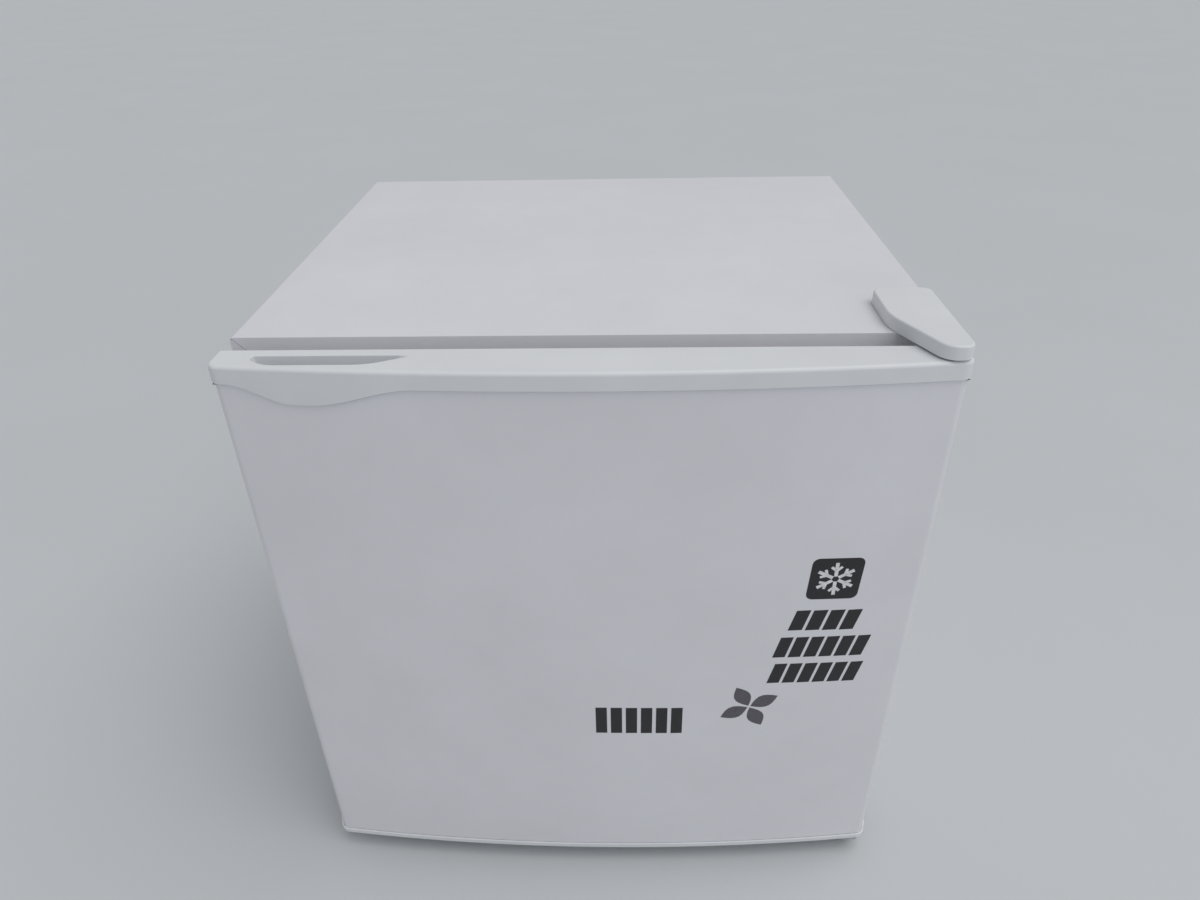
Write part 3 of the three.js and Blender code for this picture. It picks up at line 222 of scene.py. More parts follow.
def tint(hex_value, gain):
    """A linear colour a little lighter or darker."""
    return (*[min(c * gain, 1.0) for c in linear(hex_value)[:3]], 1.0)


# ---- Finishes ----


def stoved_enamel(colours):
    """Stoved polyester enamel, sprayed on steel: an even semi-gloss with faint orange peel and hand marks."""
    material, tree, shader, place = start("stoved white enamel")
    cloud = noise(tree, place, 90, 4.0, 0.6)
    drive(
        tree,
        shader,
        Base_Color=ramp(tree, cloud, [(0.3, tint(colours.enamel, 0.965)), (0.7, tint(colours.enamel, 1.02))]),
        Roughness=spread(tree, noise(tree, place, 35, 5.0, 0.7), 0.3, 0.46),
        # Orange peel is about 1 mm across: drawn at 3 mm, so that it shows.
        Normal=bump(tree, noise(tree, place, 3, 1.0), 0.02, 0.5),
    )
    shader.inputs["Coat Weight"].default_value = 0.15
    shader.inputs["Coat Roughness"].default_value = 0.2
    return material


def moulded_abs(name, hex_value, rough=0.44):
    """Injection-moulded ABS from a spark-eroded mould: satin, with a fine even grain."""
    material, tree, shader, place = start(name)
    cloud = noise(tree, place, 45, 3.0)
    grain = noise(tree, place, 0.9, 2.0)
    drive(
        tree,
        shader,
        Base_Color=ramp(tree, cloud, [(0.3, tint(hex_value, 0.97)), (0.7, tint(hex_value, 1.02))]),
        Roughness=spread(tree, noise(tree, place, 25, 4.0), rough - 0.06, rough + 0.08),
        # The grain is 0.3 mm across: drawn at 0.9 mm, so that it shows.
        Normal=bump(tree, grain, 0.03, 0.35),
    )
    shader.inputs["IOR"].default_value = 1.53
    return material


def formed_polystyrene(colours):
    """Vacuum-formed polystyrene sheet: glossy, thinner and a little wavy where it stretched."""
    material, tree, shader, place = start("vacuum-formed polystyrene")
    wave = noise(tree, place, 28, 2.0)
    drive(
        tree,
        shader,
        Base_Color=ramp(tree, wave, [(0.3, tint(colours.liner, 0.97)), (0.7, tint(colours.liner, 1.01))]),
        Roughness=spread(tree, noise(tree, place, 15, 4.0), 0.26, 0.4),
        Normal=bump(tree, wave, 0.25, 0.25),
    )
    shader.inputs["IOR"].default_value = 1.59
    return material


def soft_seal(colours):
    """Extruded soft PVC: dull, and dirty in its folds."""
    material, tree, shader, place = start("extruded soft PVC")
    dirt = noise(tree, place, 12, 5.0, 0.7)
    drive(
        tree,
        shader,
        Base_Color=ramp(tree, dirt, [(0.3, tint(colours.seal, 0.88)), (0.65, linear(colours.seal))]),
        Roughness=spread(tree, dirt, 0.75, 0.55),
        Normal=bump(tree, noise(tree, place, 2, 2.0), 0.05, 0.4),
    )
    return material


def zinc_plate():
    """Zinc-plated sheet: a bluish metal with crystals, which give the eye a patchwork of gloss."""
    material, tree, shader, place = start("zinc-plated steel")
    crystals = add(tree, "ShaderNodeTexVoronoi", {"Vector": place, "Scale": per(6), "Randomness": 1.0})
    patch = add(tree, "ShaderNodeSeparateColor", {"Color": crystals.outputs["Color"]}).outputs["Red"]
    drive(
        tree,
        shader,
        Base_Color=ramp(tree, patch, [(0.0, linear("b6babd")), (1.0, linear("c9ccce"))]),
        Roughness=spread(tree, patch, 0.42, 0.52),
        Normal=bump(tree, noise(tree, place, 1.2, 2.0), 0.02, 0.4),
    )
    shader.inputs["Metallic"].default_value = 1.0
    return material


def rolled_aluminium():
    """Rolled aluminium sheet, anodised: pale metal with fine lines along the rolling."""
    material, tree, shader, place = start("rolled aluminium")
    stretch = add(tree, "ShaderNodeMapping", {"Vector": place, "Scale": (1.0, 0.04, 1.0)}).outputs["Vector"]
    # The lines are under 0.2 mm wide: drawn at 0.8 mm, so that they show.
    lines = noise(tree, stretch, 0.8, 3.0)
    drive(
        tree,
        shader,
        Base_Color=ramp(tree, lines, [(0.3, linear("b9bdc1")), (0.7, linear("d6d9dc"))]),
        Roughness=spread(tree, lines, 0.3, 0.46),
        Normal=bump(tree, lines, 0.02, 0.5),
    )
    shader.inputs["Metallic"].default_value = 1.0
    return material


def drawn_copper():
    """Drawn copper tube, tarnished in patches to a dull brown."""
    material, tree, shader, place = start("drawn copper")
    tarnish = noise(tree, place, 18, 5.0, 0.65)
    drive(
        tree,
        shader,
        Base_Color=ramp(tree, tarnish, [(0.35, linear("7d4630")), (0.6, linear("c47a56"))]),
        Roughness=spread(tree, tarnish, 0.55, 0.28),
    )
    shader.inputs["Metallic"].default_value = 1.0
    return material


def black_enamel():
    """Black baking enamel on a pressed shell: glossy, with a little dust."""
    material, tree, shader, place = start("black baking enamel")
    dust = noise(tree, place, 22, 6.0, 0.7)
    drive(
        tree,
        shader,
        Base_Color=ramp(tree, dust, [(0.4, linear("151618")), (0.75, linear("37383a"))]),
        Roughness=spread(tree, dust, 0.22, 0.55),
        Normal=bump(tree, noise(tree, place, 3, 2.0), 0.05, 0.5),
    )
    shader.inputs["Coat Weight"].default_value = 0.4
    return material


def dark_plastic(name, hex_value, rough, size_mm):
    """Black polypropylene or rubber: dull, with a fine mould grain."""
    material, tree, shader, place = start(name)
    grain = noise(tree, place, size_mm, 3.0)
    drive(
        tree,
        shader,
        Base_Color=ramp(tree, grain, [(0.3, tint(hex_value, 0.8)), (0.7, tint(hex_value, 1.3))]),
        Roughness=spread(tree, noise(tree, place, 9, 4.0), rough - 0.08, rough + 0.1),
        Normal=bump(tree, grain, 0.05, 0.5),
    )
    return material


def clear_polystyrene(name, hex_value, rough, transmission):
    """Injection-moulded polystyrene: it lets light through, and its edges look darker."""
    material, tree, shader, place = start(name)
    flow = noise(tree, place, 20, 3.0)
    drive(
        tree,
        shader,
        Base_Color=ramp(tree, flow, [(0.3, tint(hex_value, 0.97)), (0.7, linear(hex_value))]),
        Roughness=spread(tree, flow, rough, rough + 0.08),
        Normal=bump(tree, flow, 0.2, 0.15),
    )
    shader.inputs["Transmission Weight"].default_value = transmission
    shader.inputs["IOR"].default_value = 1.49
    return material


def rigid_foam():
    """Rigid polyurethane foam with its skin: dull and cellular."""
    material, tree, shader, place = start("rigid polyurethane foam")
    cells = add(tree, "ShaderNodeTexVoronoi", {"Vector": place, "Scale": per(2.5)}).outputs["Distance"]
    drive(
        tree,
        shader,
        Base_Color=ramp(tree, cells, [(0.0, linear("cdbb7c")), (0.8, linear("e8dcaa"))]),
        Normal=bump(tree, cells, 0.4, 0.6),
    )
    shader.inputs["Roughness"].default_value = 0.9
    return material


def vinyl_print(name, hex_value):
    """A printed vinyl sticker: an even colour with worn specks."""
    material, tree, shader, place = start(name)
    wear = noise(tree, place, 4, 5.0, 0.75)
    drive(
        tree,
        shader,
        Base_Color=ramp(tree, wear, [(0.3, tint(hex_value, 0.85)), (0.75, tint(hex_value, 1.35))]),
        Roughness=spread(tree, wear, 0.35, 0.55),
    )
    return material


def floor_paper(colours):
    """Matt background paper: pale, with the faintest clouding."""
    material, tree, shader, place = start("studio paper")
    cloud = noise(tree, place, 400, 4.0)
    fleck = noise(tree, place, 3, 2.0)
    drive(
        tree,
        shader,
        Base_Color=ramp(tree, cloud, [(0.3, tint(colours.floor, 0.985)), (0.7, tint(colours.floor, 1.01))]),
        Normal=bump(tree, fleck, 0.05, 0.2),
    )
    shader.inputs["Roughness"].default_value = 0.85
    return material


FINISHES = {}  # the materials made so far, by short name


def finish(name):
    """A finish by its short name, made the first time it is asked for."""
    colours = bpy.context.scene.fridge_colours
    makers = {
        "enamel": lambda: stoved_enamel(colours),
        "cap": lambda: moulded_abs("moulded white ABS", colours.cap),
        "liner": lambda: formed_polystyrene(colours),
        "ice frame": lambda: moulded_abs("moulded polystyrene", colours.liner, 0.36),
        "seal": lambda: soft_seal(colours),
        "zinc": zinc_plate,
        "aluminium": rolled_aluminium,
        "copper": drawn_copper,
        "black enamel": black_enamel,
        "black plastic": lambda: dark_plastic("black polypropylene", "202123", 0.55, 0.8),
        "rubber": lambda: dark_plastic("moulded rubber", "1c1c1c", 0.8, 1.5),
        "clear": lambda: clear_polystyrene("clear polystyrene", "f1f6f8", 0.06, 0.92),
        "frosted": lambda: clear_polystyrene("frosted polystyrene", "dfecf2", 0.32, 0.6),
        "wire": lambda: moulded_abs("nylon-dipped wire", "eeefef", 0.3),
        "nylon": lambda: moulded_abs("natural nylon", "e9e7de", 0.5),
        "foam": rigid_foam,
        "dark print": lambda: vinyl_print("black vinyl", colours.print_dark),
        "grey print": lambda: vinyl_print("grey vinyl", colours.print_grey),
        "pale print": lambda: vinyl_print("white vinyl", "d8d8da"),
        "floor": lambda: floor_paper(colours),
    }
    if name not in FINISHES:
        FINISHES[name] = makers[name]()
    return FINISHES[name]


# ---- Modelling helpers ----


def plan_face(bm, points, z=0.0):
    """A face on (x, y) points at one height."""
    return bm.faces.new([bm.verts.new((x, y, z)) for x, y in points])


def round_plan(bm, face, radius, segments=5):
    """Rounds the corners of a lone face, and gives the face back."""
    bmesh.ops.bevel(
        bm,
        geom=list(face.verts),
        offset=radius,
        segments=segments,
        profile=0.5,
        affect="VERTICES",
        clamp_overlap=True,
        material=-1,
    )
    bm.faces.ensure_lookup_table()
    return bm.faces[-1]


def once(items):
    """A list without repeats that keeps its order, so that every run cuts and rounds alike."""
    return list(dict.fromkeys(items))


def verts_of(geom):
    """The vertices among what an operator made."""
    return [g for g in geom if isinstance(g, bmesh.types.BMVert)]


def edges_of(geom):
    """The edges among what an operator made."""
    return [g for g in geom if isinstance(g, bmesh.types.BMEdge)]


def faces_of(geom):
    """The faces among what an operator made."""
    return [g for g in geom if isinstance(g, bmesh.types.BMFace)]


def flat_faces(bm, axis, place):
    """The faces that lie square to an axis (0 to 2) at one place along it."""
    return [f for f in bm.faces if all(abs(v.co[axis] - place) < TINY for v in f.verts)]


def sharp_turns(bm):
    """The edges where two faces meet at a strong angle."""
    return [e for e in bm.edges if len(e.link_faces) == 2 and e.calc_face_angle() > 1.0]


def pull(bm, faces, offset):
    """Extrudes faces by an offset, and gives the moved faces."""
    made = bmesh.ops.extrude_face_region(bm, geom=list(faces))["geom"]
    bmesh.ops.translate(bm, verts=verts_of(made), vec=offset)
    return faces_of(made)


def sweep(bm, edges, offset):
    """Extrudes edges by an offset, and gives all that is made."""
    made = bmesh.ops.extrude_edge_only(bm, edges=list(edges))["geom"]
    bmesh.ops.translate(bm, verts=verts_of(made), vec=offset)
    return made


def chain(bm, points):
    """Vertices joined one after another by edges: gives both."""
    verts = [bm.verts.new(p) for p in points]
    return verts, [bm.edges.new(pair) for pair in zip(verts, verts[1:])]


def bend_corners(bm, verts, radius, segments):
    """Rounds corners of a chain or of a lone face."""
    bmesh.ops.bevel(
        bm, geom=list(verts), offset=radius, segments=segments, profile=0.5, affect="VERTICES", material=-1
    )


def soften(bm, edges, radius, segments=3):
    """Rounds edges."""
    bmesh.ops.bevel(
        bm,
        geom=list(edges),
        offset=radius,
        segments=segments,
        profile=0.5,
        affect="EDGES",
        clamp_overlap=True,
        material=-1,
    )


def rim(faces):
    """The edges round a group of faces."""
    inside = set(faces)
    edges = once(e for f in faces for e in f.edges)
    return [e for e in edges if sum(g in inside for g in e.link_faces) == 1]


def block(bm, low, high, radius=0.0, segments=2):
    """A box between two corners with rounded edges."""
    low, high = Vector(low), Vector(high)
    place = Matrix.Translation((low + high) / 2) @ Matrix.Diagonal((*(high - low), 1))
    made = bmesh.ops.create_cube(bm, size=1, matrix=place)
    if radius:
        soften(bm, once(e for v in made["verts"] for e in v.link_edges), radius, segments)


def turned(bm, profile, place, steps=32):
    """A turned shape: (radius, height) pairs spun about the Z axis of a place."""
    before = set(bm.verts)
    verts, edges = chain(bm, [(r, 0, z) for r, z in profile])
    bmesh.ops.spin(
        bm,
        geom=verts + edges,
        cent=(0, 0, 0),
        axis=(0, 0, 1),
        angle=2 * math.pi,
        steps=steps,
        use_merge=True,
    )
    made = [v for v in bm.verts if v not in before]
    bmesh.ops.remove_doubles(bm, verts=made, dist=TINY)
    made = [v for v in bm.verts if v not in before]
    bmesh.ops.transform(bm, matrix=place, verts=made)


def rod(bm, a, b, radius, sides=12):
    """A round bar between two points."""
    a, b = Vector(a), Vector(b)
    turn = (b - a).to_track_quat("Z", "Y").to_matrix().to_4x4()
    bmesh.ops.create_cone(
        bm,
        cap_ends=True,
        segments=sides,
        radius1=radius,
        radius2=radius,
        depth=(b - a).length,
        matrix=Matrix.Translation((a + b) / 2) @ turn,
    )


def cut_along(bm, faces, planes):
    """Cuts faces along planes given as (point, normal), and gives every face that comes of them."""
    faces = list(faces)
    for point, normal in planes:
        geom = once([*faces, *[e for f in faces for e in f.edges], *[v for f in faces for v in f.verts]])
        out = bmesh.ops.bisect_plane(bm, geom=geom, dist=TINY / 10, plane_co=point, plane_no=normal)
        faces = faces_of(out["geom"])
    return faces


def shown(name, bm, material):
    """An object made of a bmesh, which is used up, in a finish."""
    mesh = bpy.data.meshes.new(name)
    bm.to_mesh(mesh)
    bm.free()
    made = bpy.data.objects.new(name, mesh)
    bpy.context.scene.collection.objects.link(made)
    made.data.materials.append(finish(material))
    return made


def piece(name, bm, body, material, stands_for=(), wall=0.0, outward=False, sharp=38):
    """Makes a piece of a bmesh: normals out, smooth but for its sharp edges, riding on a body."""
    bmesh.ops.remove_doubles(bm, verts=bm.verts, dist=TINY)
    bmesh.ops.recalc_face_normals(bm, faces=bm.faces)
    for face in bm.faces:
        face.smooth = True
    for edge in bm.edges:
        edge.smooth = edge.is_manifold and edge.calc_face_angle() < math.radians(sharp)
    made = shown(name, bm, material)
    if wall:
        solid = made.modifiers.new("wall", "SOLIDIFY")
        solid.thickness = wall
        solid.offset = 1.0 if outward else -1.0
        solid.use_even_offset = True
    # Large flat faces keep a flat shade next to their small rounded edges.
    shade = made.modifiers.new("shading", "WEIGHTED_NORMAL")
    shade.keep_sharp = True
    return settle(made, body, stands_for)


def settle(made, body, stands_for):
    """Joins a piece to the frame."""
    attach(made, body)
    if stands_for:
        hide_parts(*stands_for)
    return made


def bent_path(points, bend, steps=6):
    """A path with a round bend at each corner."""
    points = [Vector(p) for p in points]
    path = [points[0]]
    for before, corner, after in zip(points, points[1:], points[2:]):
        back = (before - corner).normalized()
        on = (after - corner).normalized()
        reach = min(bend, (before - corner).length / 2, (after - corner).length / 2)
        enter, leave = corner + back * reach, corner + on * reach
        for i in range(steps + 1):
            t = i / steps
            path.append(enter * (1 - t) ** 2 + corner * 2 * t * (1 - t) + leave * t**2)
    path.append(points[-1])
    return path


def tube(name, points, radius, bend, body, material, stands_for=()):
    """A round pipe along a path with bends."""
    curve = bpy.data.curves.new(name, "CURVE")
    curve.dimensions = "3D"
    curve.bevel_depth = radius
    curve.bevel_resolution = 3
    curve.use_fill_caps = True
    path = bent_path(points, bend)
    spline = curve.splines.new("POLY")
    spline.points.add(len(path) - 1)
    for point, place in zip(spline.points, path):
        point.co = (*place, 1.0)
    shape = bpy.data.objects.new(name + "_path", curve)
    mesh = bpy.data.meshes.new_from_object(shape)
    bpy.data.objects.remove(shape)
    bpy.data.curves.remove(curve)
    bm = bmesh.new()
    bm.from_mesh(mesh)
    bpy.data.meshes.remove(mesh)
    return piece(name, bm, body, material, stands_for)


def upright(x, y, z):
    """A place whose Z axis points up."""
    return Matrix.Translation((x, y, z))


def facing(x, y, z, direction):
    """A place whose Z axis points along a direction."""
    return Matrix.Translation((x, y, z)) @ Vector(direction).to_track_quat("Z", "Y").to_matrix().to_4x4()


# ---- Cabinet ----


def cabinet_shell(sizes):
    """The steel wrap: top and sides in one sheet with rolled corners, and mitred front flanges."""
    bm = bmesh.new()
    verts, _ = chain(bm, [(-HALF, BACK, BASE), (-HALF, BACK, TOP), (HALF, BACK, TOP), (HALF, BACK, BASE)])
    bend_corners(bm, verts[1:3], sizes.sheet_bend, 5)
    made = sweep(bm, bm.edges, (0, FRONT - BACK, 0))
    fold = [e for e in edges_of(made) if all(v.co.y < FRONT + MM for v in e.verts)]
    reach = HALF - sizes.flange
    for vert in verts_of(bmesh.ops.extrude_edge_only(bm, edges=fold)["geom"]):
        vert.co.x = max(-reach, min(reach, vert.co.x))
        vert.co.z = min(vert.co.z, TOP - sizes.flange)
    bmesh.ops.remove_doubles(bm, verts=bm.verts, dist=TINY)
    cut_mitres(bm, sizes)
    folds = [
        e
        for e in bm.edges
        if len(e.link_faces) == 2
        and all(abs(v.co.y - FRONT) < TINY for v in e.verts)
        and e.calc_face_angle() > math.radians(60)
    ]
    flange_bend = sizes.sheet_bend * 0.6
    soften(bm, folds, flange_bend, 3)
    piece("cabinet_shell", bm, "cabinet", "enamel", ["cabinet_wrap"], wall=STEEL)


def cut_mitres(bm, sizes):
    """Opens a slot along the diagonal at each upper corner of the front flanges."""
    flange = [f for f in bm.faces if all(v.co.y < FRONT + MM for v in f.verts)]
    for side in (-1, 1):
        corner = Vector((side * HALF, FRONT, TOP))
        across = Vector((-side, 0, -1)).normalized().cross(Vector((0, 1, 0)))
        slot_sides = [(corner + across * shift * sizes.mitre / 2, across) for shift in (-1, 1)]
        flange = cut_along(bm, flange, slot_sides)

    def in_slot(point):
        from_diagonal = abs((HALF - abs(point.x)) - (TOP - point.z)) / math.sqrt(2)
        return from_diagonal < sizes.mitre * 0.45 and point.z > TOP - sizes.flange

    slots = [f for f in flange if in_slot(f.calc_center_median())]
    bmesh.ops.delete(bm, geom=slots, context="FACES")


RIB_HALF = 16 * MM
RIB_SPREAD = 0.62  # where the outer ribs are, as a share of the half width
RIB_FOOT = 40 * MM  # the panel's lower edge to the ribs
RIB_HEAD = 61 * MM  # the ribs to the panel's upper edge
RIB_BORDER = 4 * MM
RIB_DEPTH = 1.5 * MM


def rear_sheet():
    """The back: a zinc-plated panel with three pressed ribs, held by a row of screws."""
    low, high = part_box("rear_panel")
    bm = bmesh.new()
    face = bm.faces.new([bm.verts.new(p) for p in upright_rectangle(low, high, BACK)])
    outer = (HALF - STEEL - GAP) * RIB_SPREAD
    ribs = (-outer, 0, outer)
    foot, head = low.z + RIB_FOOT, high.z - RIB_HEAD
    planes = [((x + side * RIB_HALF, 0, 0), (1, 0, 0)) for x in ribs for side in (-1, 1)]
    planes += [((0, 0, z), (0, 0, 1)) for z in (foot, head)]
    faces = [(f, f.calc_center_median()) for f in cut_along(bm, [face], planes)]
    for x in ribs:
        pressed = [f for f, at in faces if abs(at.x - x) < RIB_HALF and foot < at.z < head]
        bmesh.ops.inset_region(bm, faces=pressed, thickness=RIB_BORDER, depth=0)
        bmesh.ops.translate(bm, verts=once(v for f in pressed for v in f.verts), vec=(0, RIB_DEPTH, 0))
    piece("rear_sheet", bm, "cabinet", "zinc", ["rear_panel"], wall=STEEL)


def upright_rectangle(low, high, y):
    """The four corners of a wall that faces along Y."""
    return [(low.x, y, low.z), (high.x, y, low.z), (high.x, y, high.z), (low.x, y, high.z)]


# A pan head with its recess, as (radius, height).
SCREW_HEAD = [
    (4 * MM, 0),
    (4 * MM, 0.8 * MM),
    (3.2 * MM, 1.6 * MM),
    (1.6 * MM, 1.9 * MM),
    (1.4 * MM, 1.1 * MM),
    (0, 1.1 * MM),
]
SCREW_FROM_SIDE = 8 * MM
SCREW_FROM_EDGE = 7 * MM
SCREWS_IN_ROW = 5


def rear_screws():
    """Small self-tapping screws round the back panel."""
    low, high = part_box("rear_panel")
    left, right = low.x + SCREW_FROM_SIDE, high.x - SCREW_FROM_SIDE
    places = []
    for i in range(SCREWS_IN_ROW):
        x = left + i * (right - left) / (SCREWS_IN_ROW - 1)
        places += [(x, high.z - SCREW_FROM_EDGE), (x, low.z + SCREW_FROM_EDGE)]
    for z in (low.z + 100 * MM, low.z + 200 * MM):
        places += [(left, z), (right, z)]
    bm = bmesh.new()
    for x, z in places:
        turned(bm, SCREW_HEAD, facing(x, BACK + 0.05 * MM, z, (0, 1, 0)), 16)
    piece("rear_panel_screws", bm, "cabinet", "zinc")


def spacers():
    """Moulded blocks that keep the back clear of the wall: a thin plate with a thick nose."""
    plate, sunk, inset = 2.5 * MM, 1 * MM, 5 * MM
    for side in ("left", "right"):
        name = "wall_spacer_" + side
        low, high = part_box(name)
        bm = bmesh.new()
        block(bm, low, (high.x, low.y + plate, high.z), 1 * MM)
        nose_low = (low.x + inset, low.y + sunk, low.z + inset)
        nose_high = (high.x - inset, high.y, high.z - inset)
        block(bm, nose_low, nose_high, 2.5 * MM, 3)
        piece(name + "_moulding", bm, "cabinet", "black plastic", [name])


def bay_parts():
    """The folded sheet that lines the compressor bay."""
    low, high = BAY
    bm = bmesh.new()
    front, ceiling = low.y + STEEL, high.z - STEEL
    verts, _ = chain(bm, [(low.x, front, low.z), (low.x, front, ceiling), (low.x, high.y, ceiling)])
    bend_corners(bm, [verts[1]], 4 * MM, 4)
    sweep(bm, bm.edges, (high.x - low.x, 0, 0))
    names = ["compressor_bay_sheet"]
    piece("bay_lining", bm, "cabinet", "zinc", names, wall=STEEL, outward=True)


def foot_profile(radius, height, waist):
    """A foot with a rounded sole that narrows upwards, as (radius, height)."""
    return [
        (0, 0),
        (radius - 1.6 * MM, 0),
        (radius - 0.4 * MM, 0.5 * MM),
        (radius, 1.6 * MM),
        (radius, height * 0.42),
        (radius - 1.2 * MM, height * 0.5),
        (waist, height * 0.96),
        (waist - 0.6 * MM, height),
        (0, height),
    ]


FOOT_RIBS = 20
FOOT_RIB = 0.9 * MM  # a rib's radius, and how deep it sits in the foot's side
STUD_RADIUS = 4 * MM
STUD_PITCH = 1.25 * MM


def feet():
    """Levelling feet in front, ribbed for the fingers, on zinc studs; plain moulded feet behind."""
    for side in ("left", "right"):
        name = f"front_{side}_foot_pad"
        low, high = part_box(name)
        middle = (low + high) / 2
        radius = middle.x - low.x
        bm = bmesh.new()
        turned(bm, foot_profile(radius, high.z, 8 * MM), upright(middle.x, middle.y, 0), 40)
        for i in range(FOOT_RIBS):
            angle = i * 2 * math.pi / FOOT_RIBS
            out = Vector((math.cos(angle), math.sin(angle), 0))
            at = Vector((middle.x, middle.y, 0)) + out * (radius - FOOT_RIB)
            rod(bm, at + Vector((0, 0, 1.8 * MM)), at + Vector((0, 0, 4 * MM)), FOOT_RIB, 8)
        piece(name + "_moulding", bm, f"{side}_foot_pad", "black plastic", [name])
        stud = f"front_{side}_foot_stud"
        low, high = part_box(stud)
        bm = bmesh.new()
        thread = thread_profile(STUD_RADIUS, high.z - low.z, STUD_PITCH)
        turned(bm, thread, upright(middle.x, middle.y, low.z), 20)
        piece(stud + "_thread", bm, f"{side}_foot_stud", "zinc", [stud])
        name = f"rear_{side}_foot"
        low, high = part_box(name)
        middle = (low + high) / 2
        bm = bmesh.new()
        turned(bm, foot_profile(middle.x - low.x, high.z, 11 * MM), upright(middle.x, middle.y, 0), 40)
        piece(name + "_moulding", bm, "cabinet", "black plastic", [name])


def thread_profile(radius, height, pitch):
    """Rings that read as a screw thread."""
    end, root = radius * 0.8, radius * 0.86
    profile = [(0, 0), (end, 0)]
    for i in range(int(height / pitch)):
        profile += [(radius, (i + 0.5) * pitch), (root, (i + 1) * pitch)]
    return profile + [(end, height), (0, height)]


# ---- Hinges ----


def hinge_cover(sizes):
    """The moulded cover over the top hinge: square behind, a slanted front and a rounded nose."""
    low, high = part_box("top_hinge_cover")
    shoulder = low.y + (high.y - low.y) * 0.52
    nose = low.x + (high.x - low.x) * 0.56
    bm = bmesh.new()
    outline = [(high.x, low.y), (high.x, high.y), (low.x, high.y), (low.x, shoulder), (nose, low.y)]
    face = round_plan(bm, plan_face(bm, outline, low.z), 7.5 * MM, 7)
    top = pull(bm, [face], (0, 0, high.z - low.z))
    soften(bm, rim(top), sizes.cover_edge, 3)
    bmesh.ops.delete(bm, geom=flat_faces(bm, 2, low.z), context="FACES")
    piece("hinge_cover_moulding", bm, "cabinet", "cap", ["top_hinge_cover"], wall=1.5 * MM)


def cad_finishes():
    """Gives each node that is shown as it stands its finish."""
    by_slot = {
        "painted_steel": "enamel",
        "cap_plastic": "cap",
        "liner_plastic": "liner",
        "seal_rubber": "seal",
        "rigid_foam": "foam",
        "zinc_steel": "zinc",
        "aluminium_sheet": "aluminium",
        "copper_pipe": "copper",
        "black_enamel": "black enamel",
        "grommet_rubber": "rubber",
        "black_plastic": "black plastic",
        "clear_plastic": "clear",
        "white_wire": "wire",
        "nylon": "nylon",
    }
    for part in frame["record"]["subparts"]:
        node = frame["nodes"][part["node"]]
        node.data.materials.clear()
        node.data.materials.append(finish(by_slot[part["material_slot"]]))


# ---- Door ----


def door_plan(bm, inwards, back, z, steps=48):
    """The door from above as a face: a bowed front and a straight back."""
    side = DOOR_HALF - inwards
    first = bm.verts.new((-side, door_face_y(side, inwards), z))
    span = 2 * math.asin(side / (BOW_RADIUS - inwards))
    bmesh.ops.spin(bm, geom=[first], cent=(0, BOW_CENTRE, z), axis=(0, 0, 1), angle=span, steps=steps)
    arc = sorted(bm.verts, key=lambda v: v.co.x)
    return bm.faces.new(arc + [bm.verts.new((side, back, z)), bm.verts.new((-side, back, z))])


def round_door_corners(bm, inwards, radius):
    """Rounds the two upright front corners."""
    side = DOOR_HALF - inwards
    edges = [
        e
        for e in bm.edges
        if all(abs(abs(v.co.x) - side) < TINY and v.co.y < RETURNS for v in e.verts)
        and abs(e.verts[0].co.z - e.verts[1].co.z) > MM
    ]
    soften(bm, edges, radius, 6)


GRIP_LENGTH = 100 * MM
GRIP_WIDTH = 13 * MM
GRIP_LEFT = -DOOR_HALF + 25 * MM
GRIP_RIGHT = GRIP_LEFT + GRIP_LENGTH
GRIP_FRONT = door_face_y(GRIP_LEFT + 11 * MM) + 4.6 * MM
GRIP_BACK = GRIP_FRONT + GRIP_WIDTH
GRIP_SPLIT = GRIP_BACK - 2 * MM  # a line from end to end that cuts the mouth in two
GRIP_TAPER = 0.9  # the floor's width against the mouth's
GRIP_RAMP = 24 * MM  # how far the right end slopes down to the floor

APRON_START = GRIP_LEFT - 14 * MM
APRON_FALL = 42 * MM
APRON_TURN = GRIP_LEFT + 39 * MM
APRON_RISE = 67 * MM
APRON_CUTS = 40


def smooth(t):
    """Eases from 0 to 1."""
    t = max(0.0, min(1.0, t))
    return t * t * (3 - 2 * t)


def apron_drop(x, sizes):
    """How far the top cap's lower edge dips at some place across."""
    down = smooth((x - APRON_START) / APRON_FALL)
    up = smooth((x - APRON_TURN) / APRON_RISE)
    return sizes.apron * down * (1 - up)


def apron_planes():
    """Upright planes across the apron, which give its curve enough vertices."""
    reach = APRON_TURN + APRON_RISE - APRON_START
    return [((APRON_START + reach * i / APRON_CUTS, 0, 0), (1, 0, 0)) for i in range(APRON_CUTS + 1)]


def dip(bm, lowest, sizes):
    """Lowers the front's vertices above some height to the apron's line."""
    for vert in bm.verts:
        if vert.co.z > lowest and vert.co.y < RETURNS:
            vert.co.z -= apron_drop(vert.co.x, sizes)


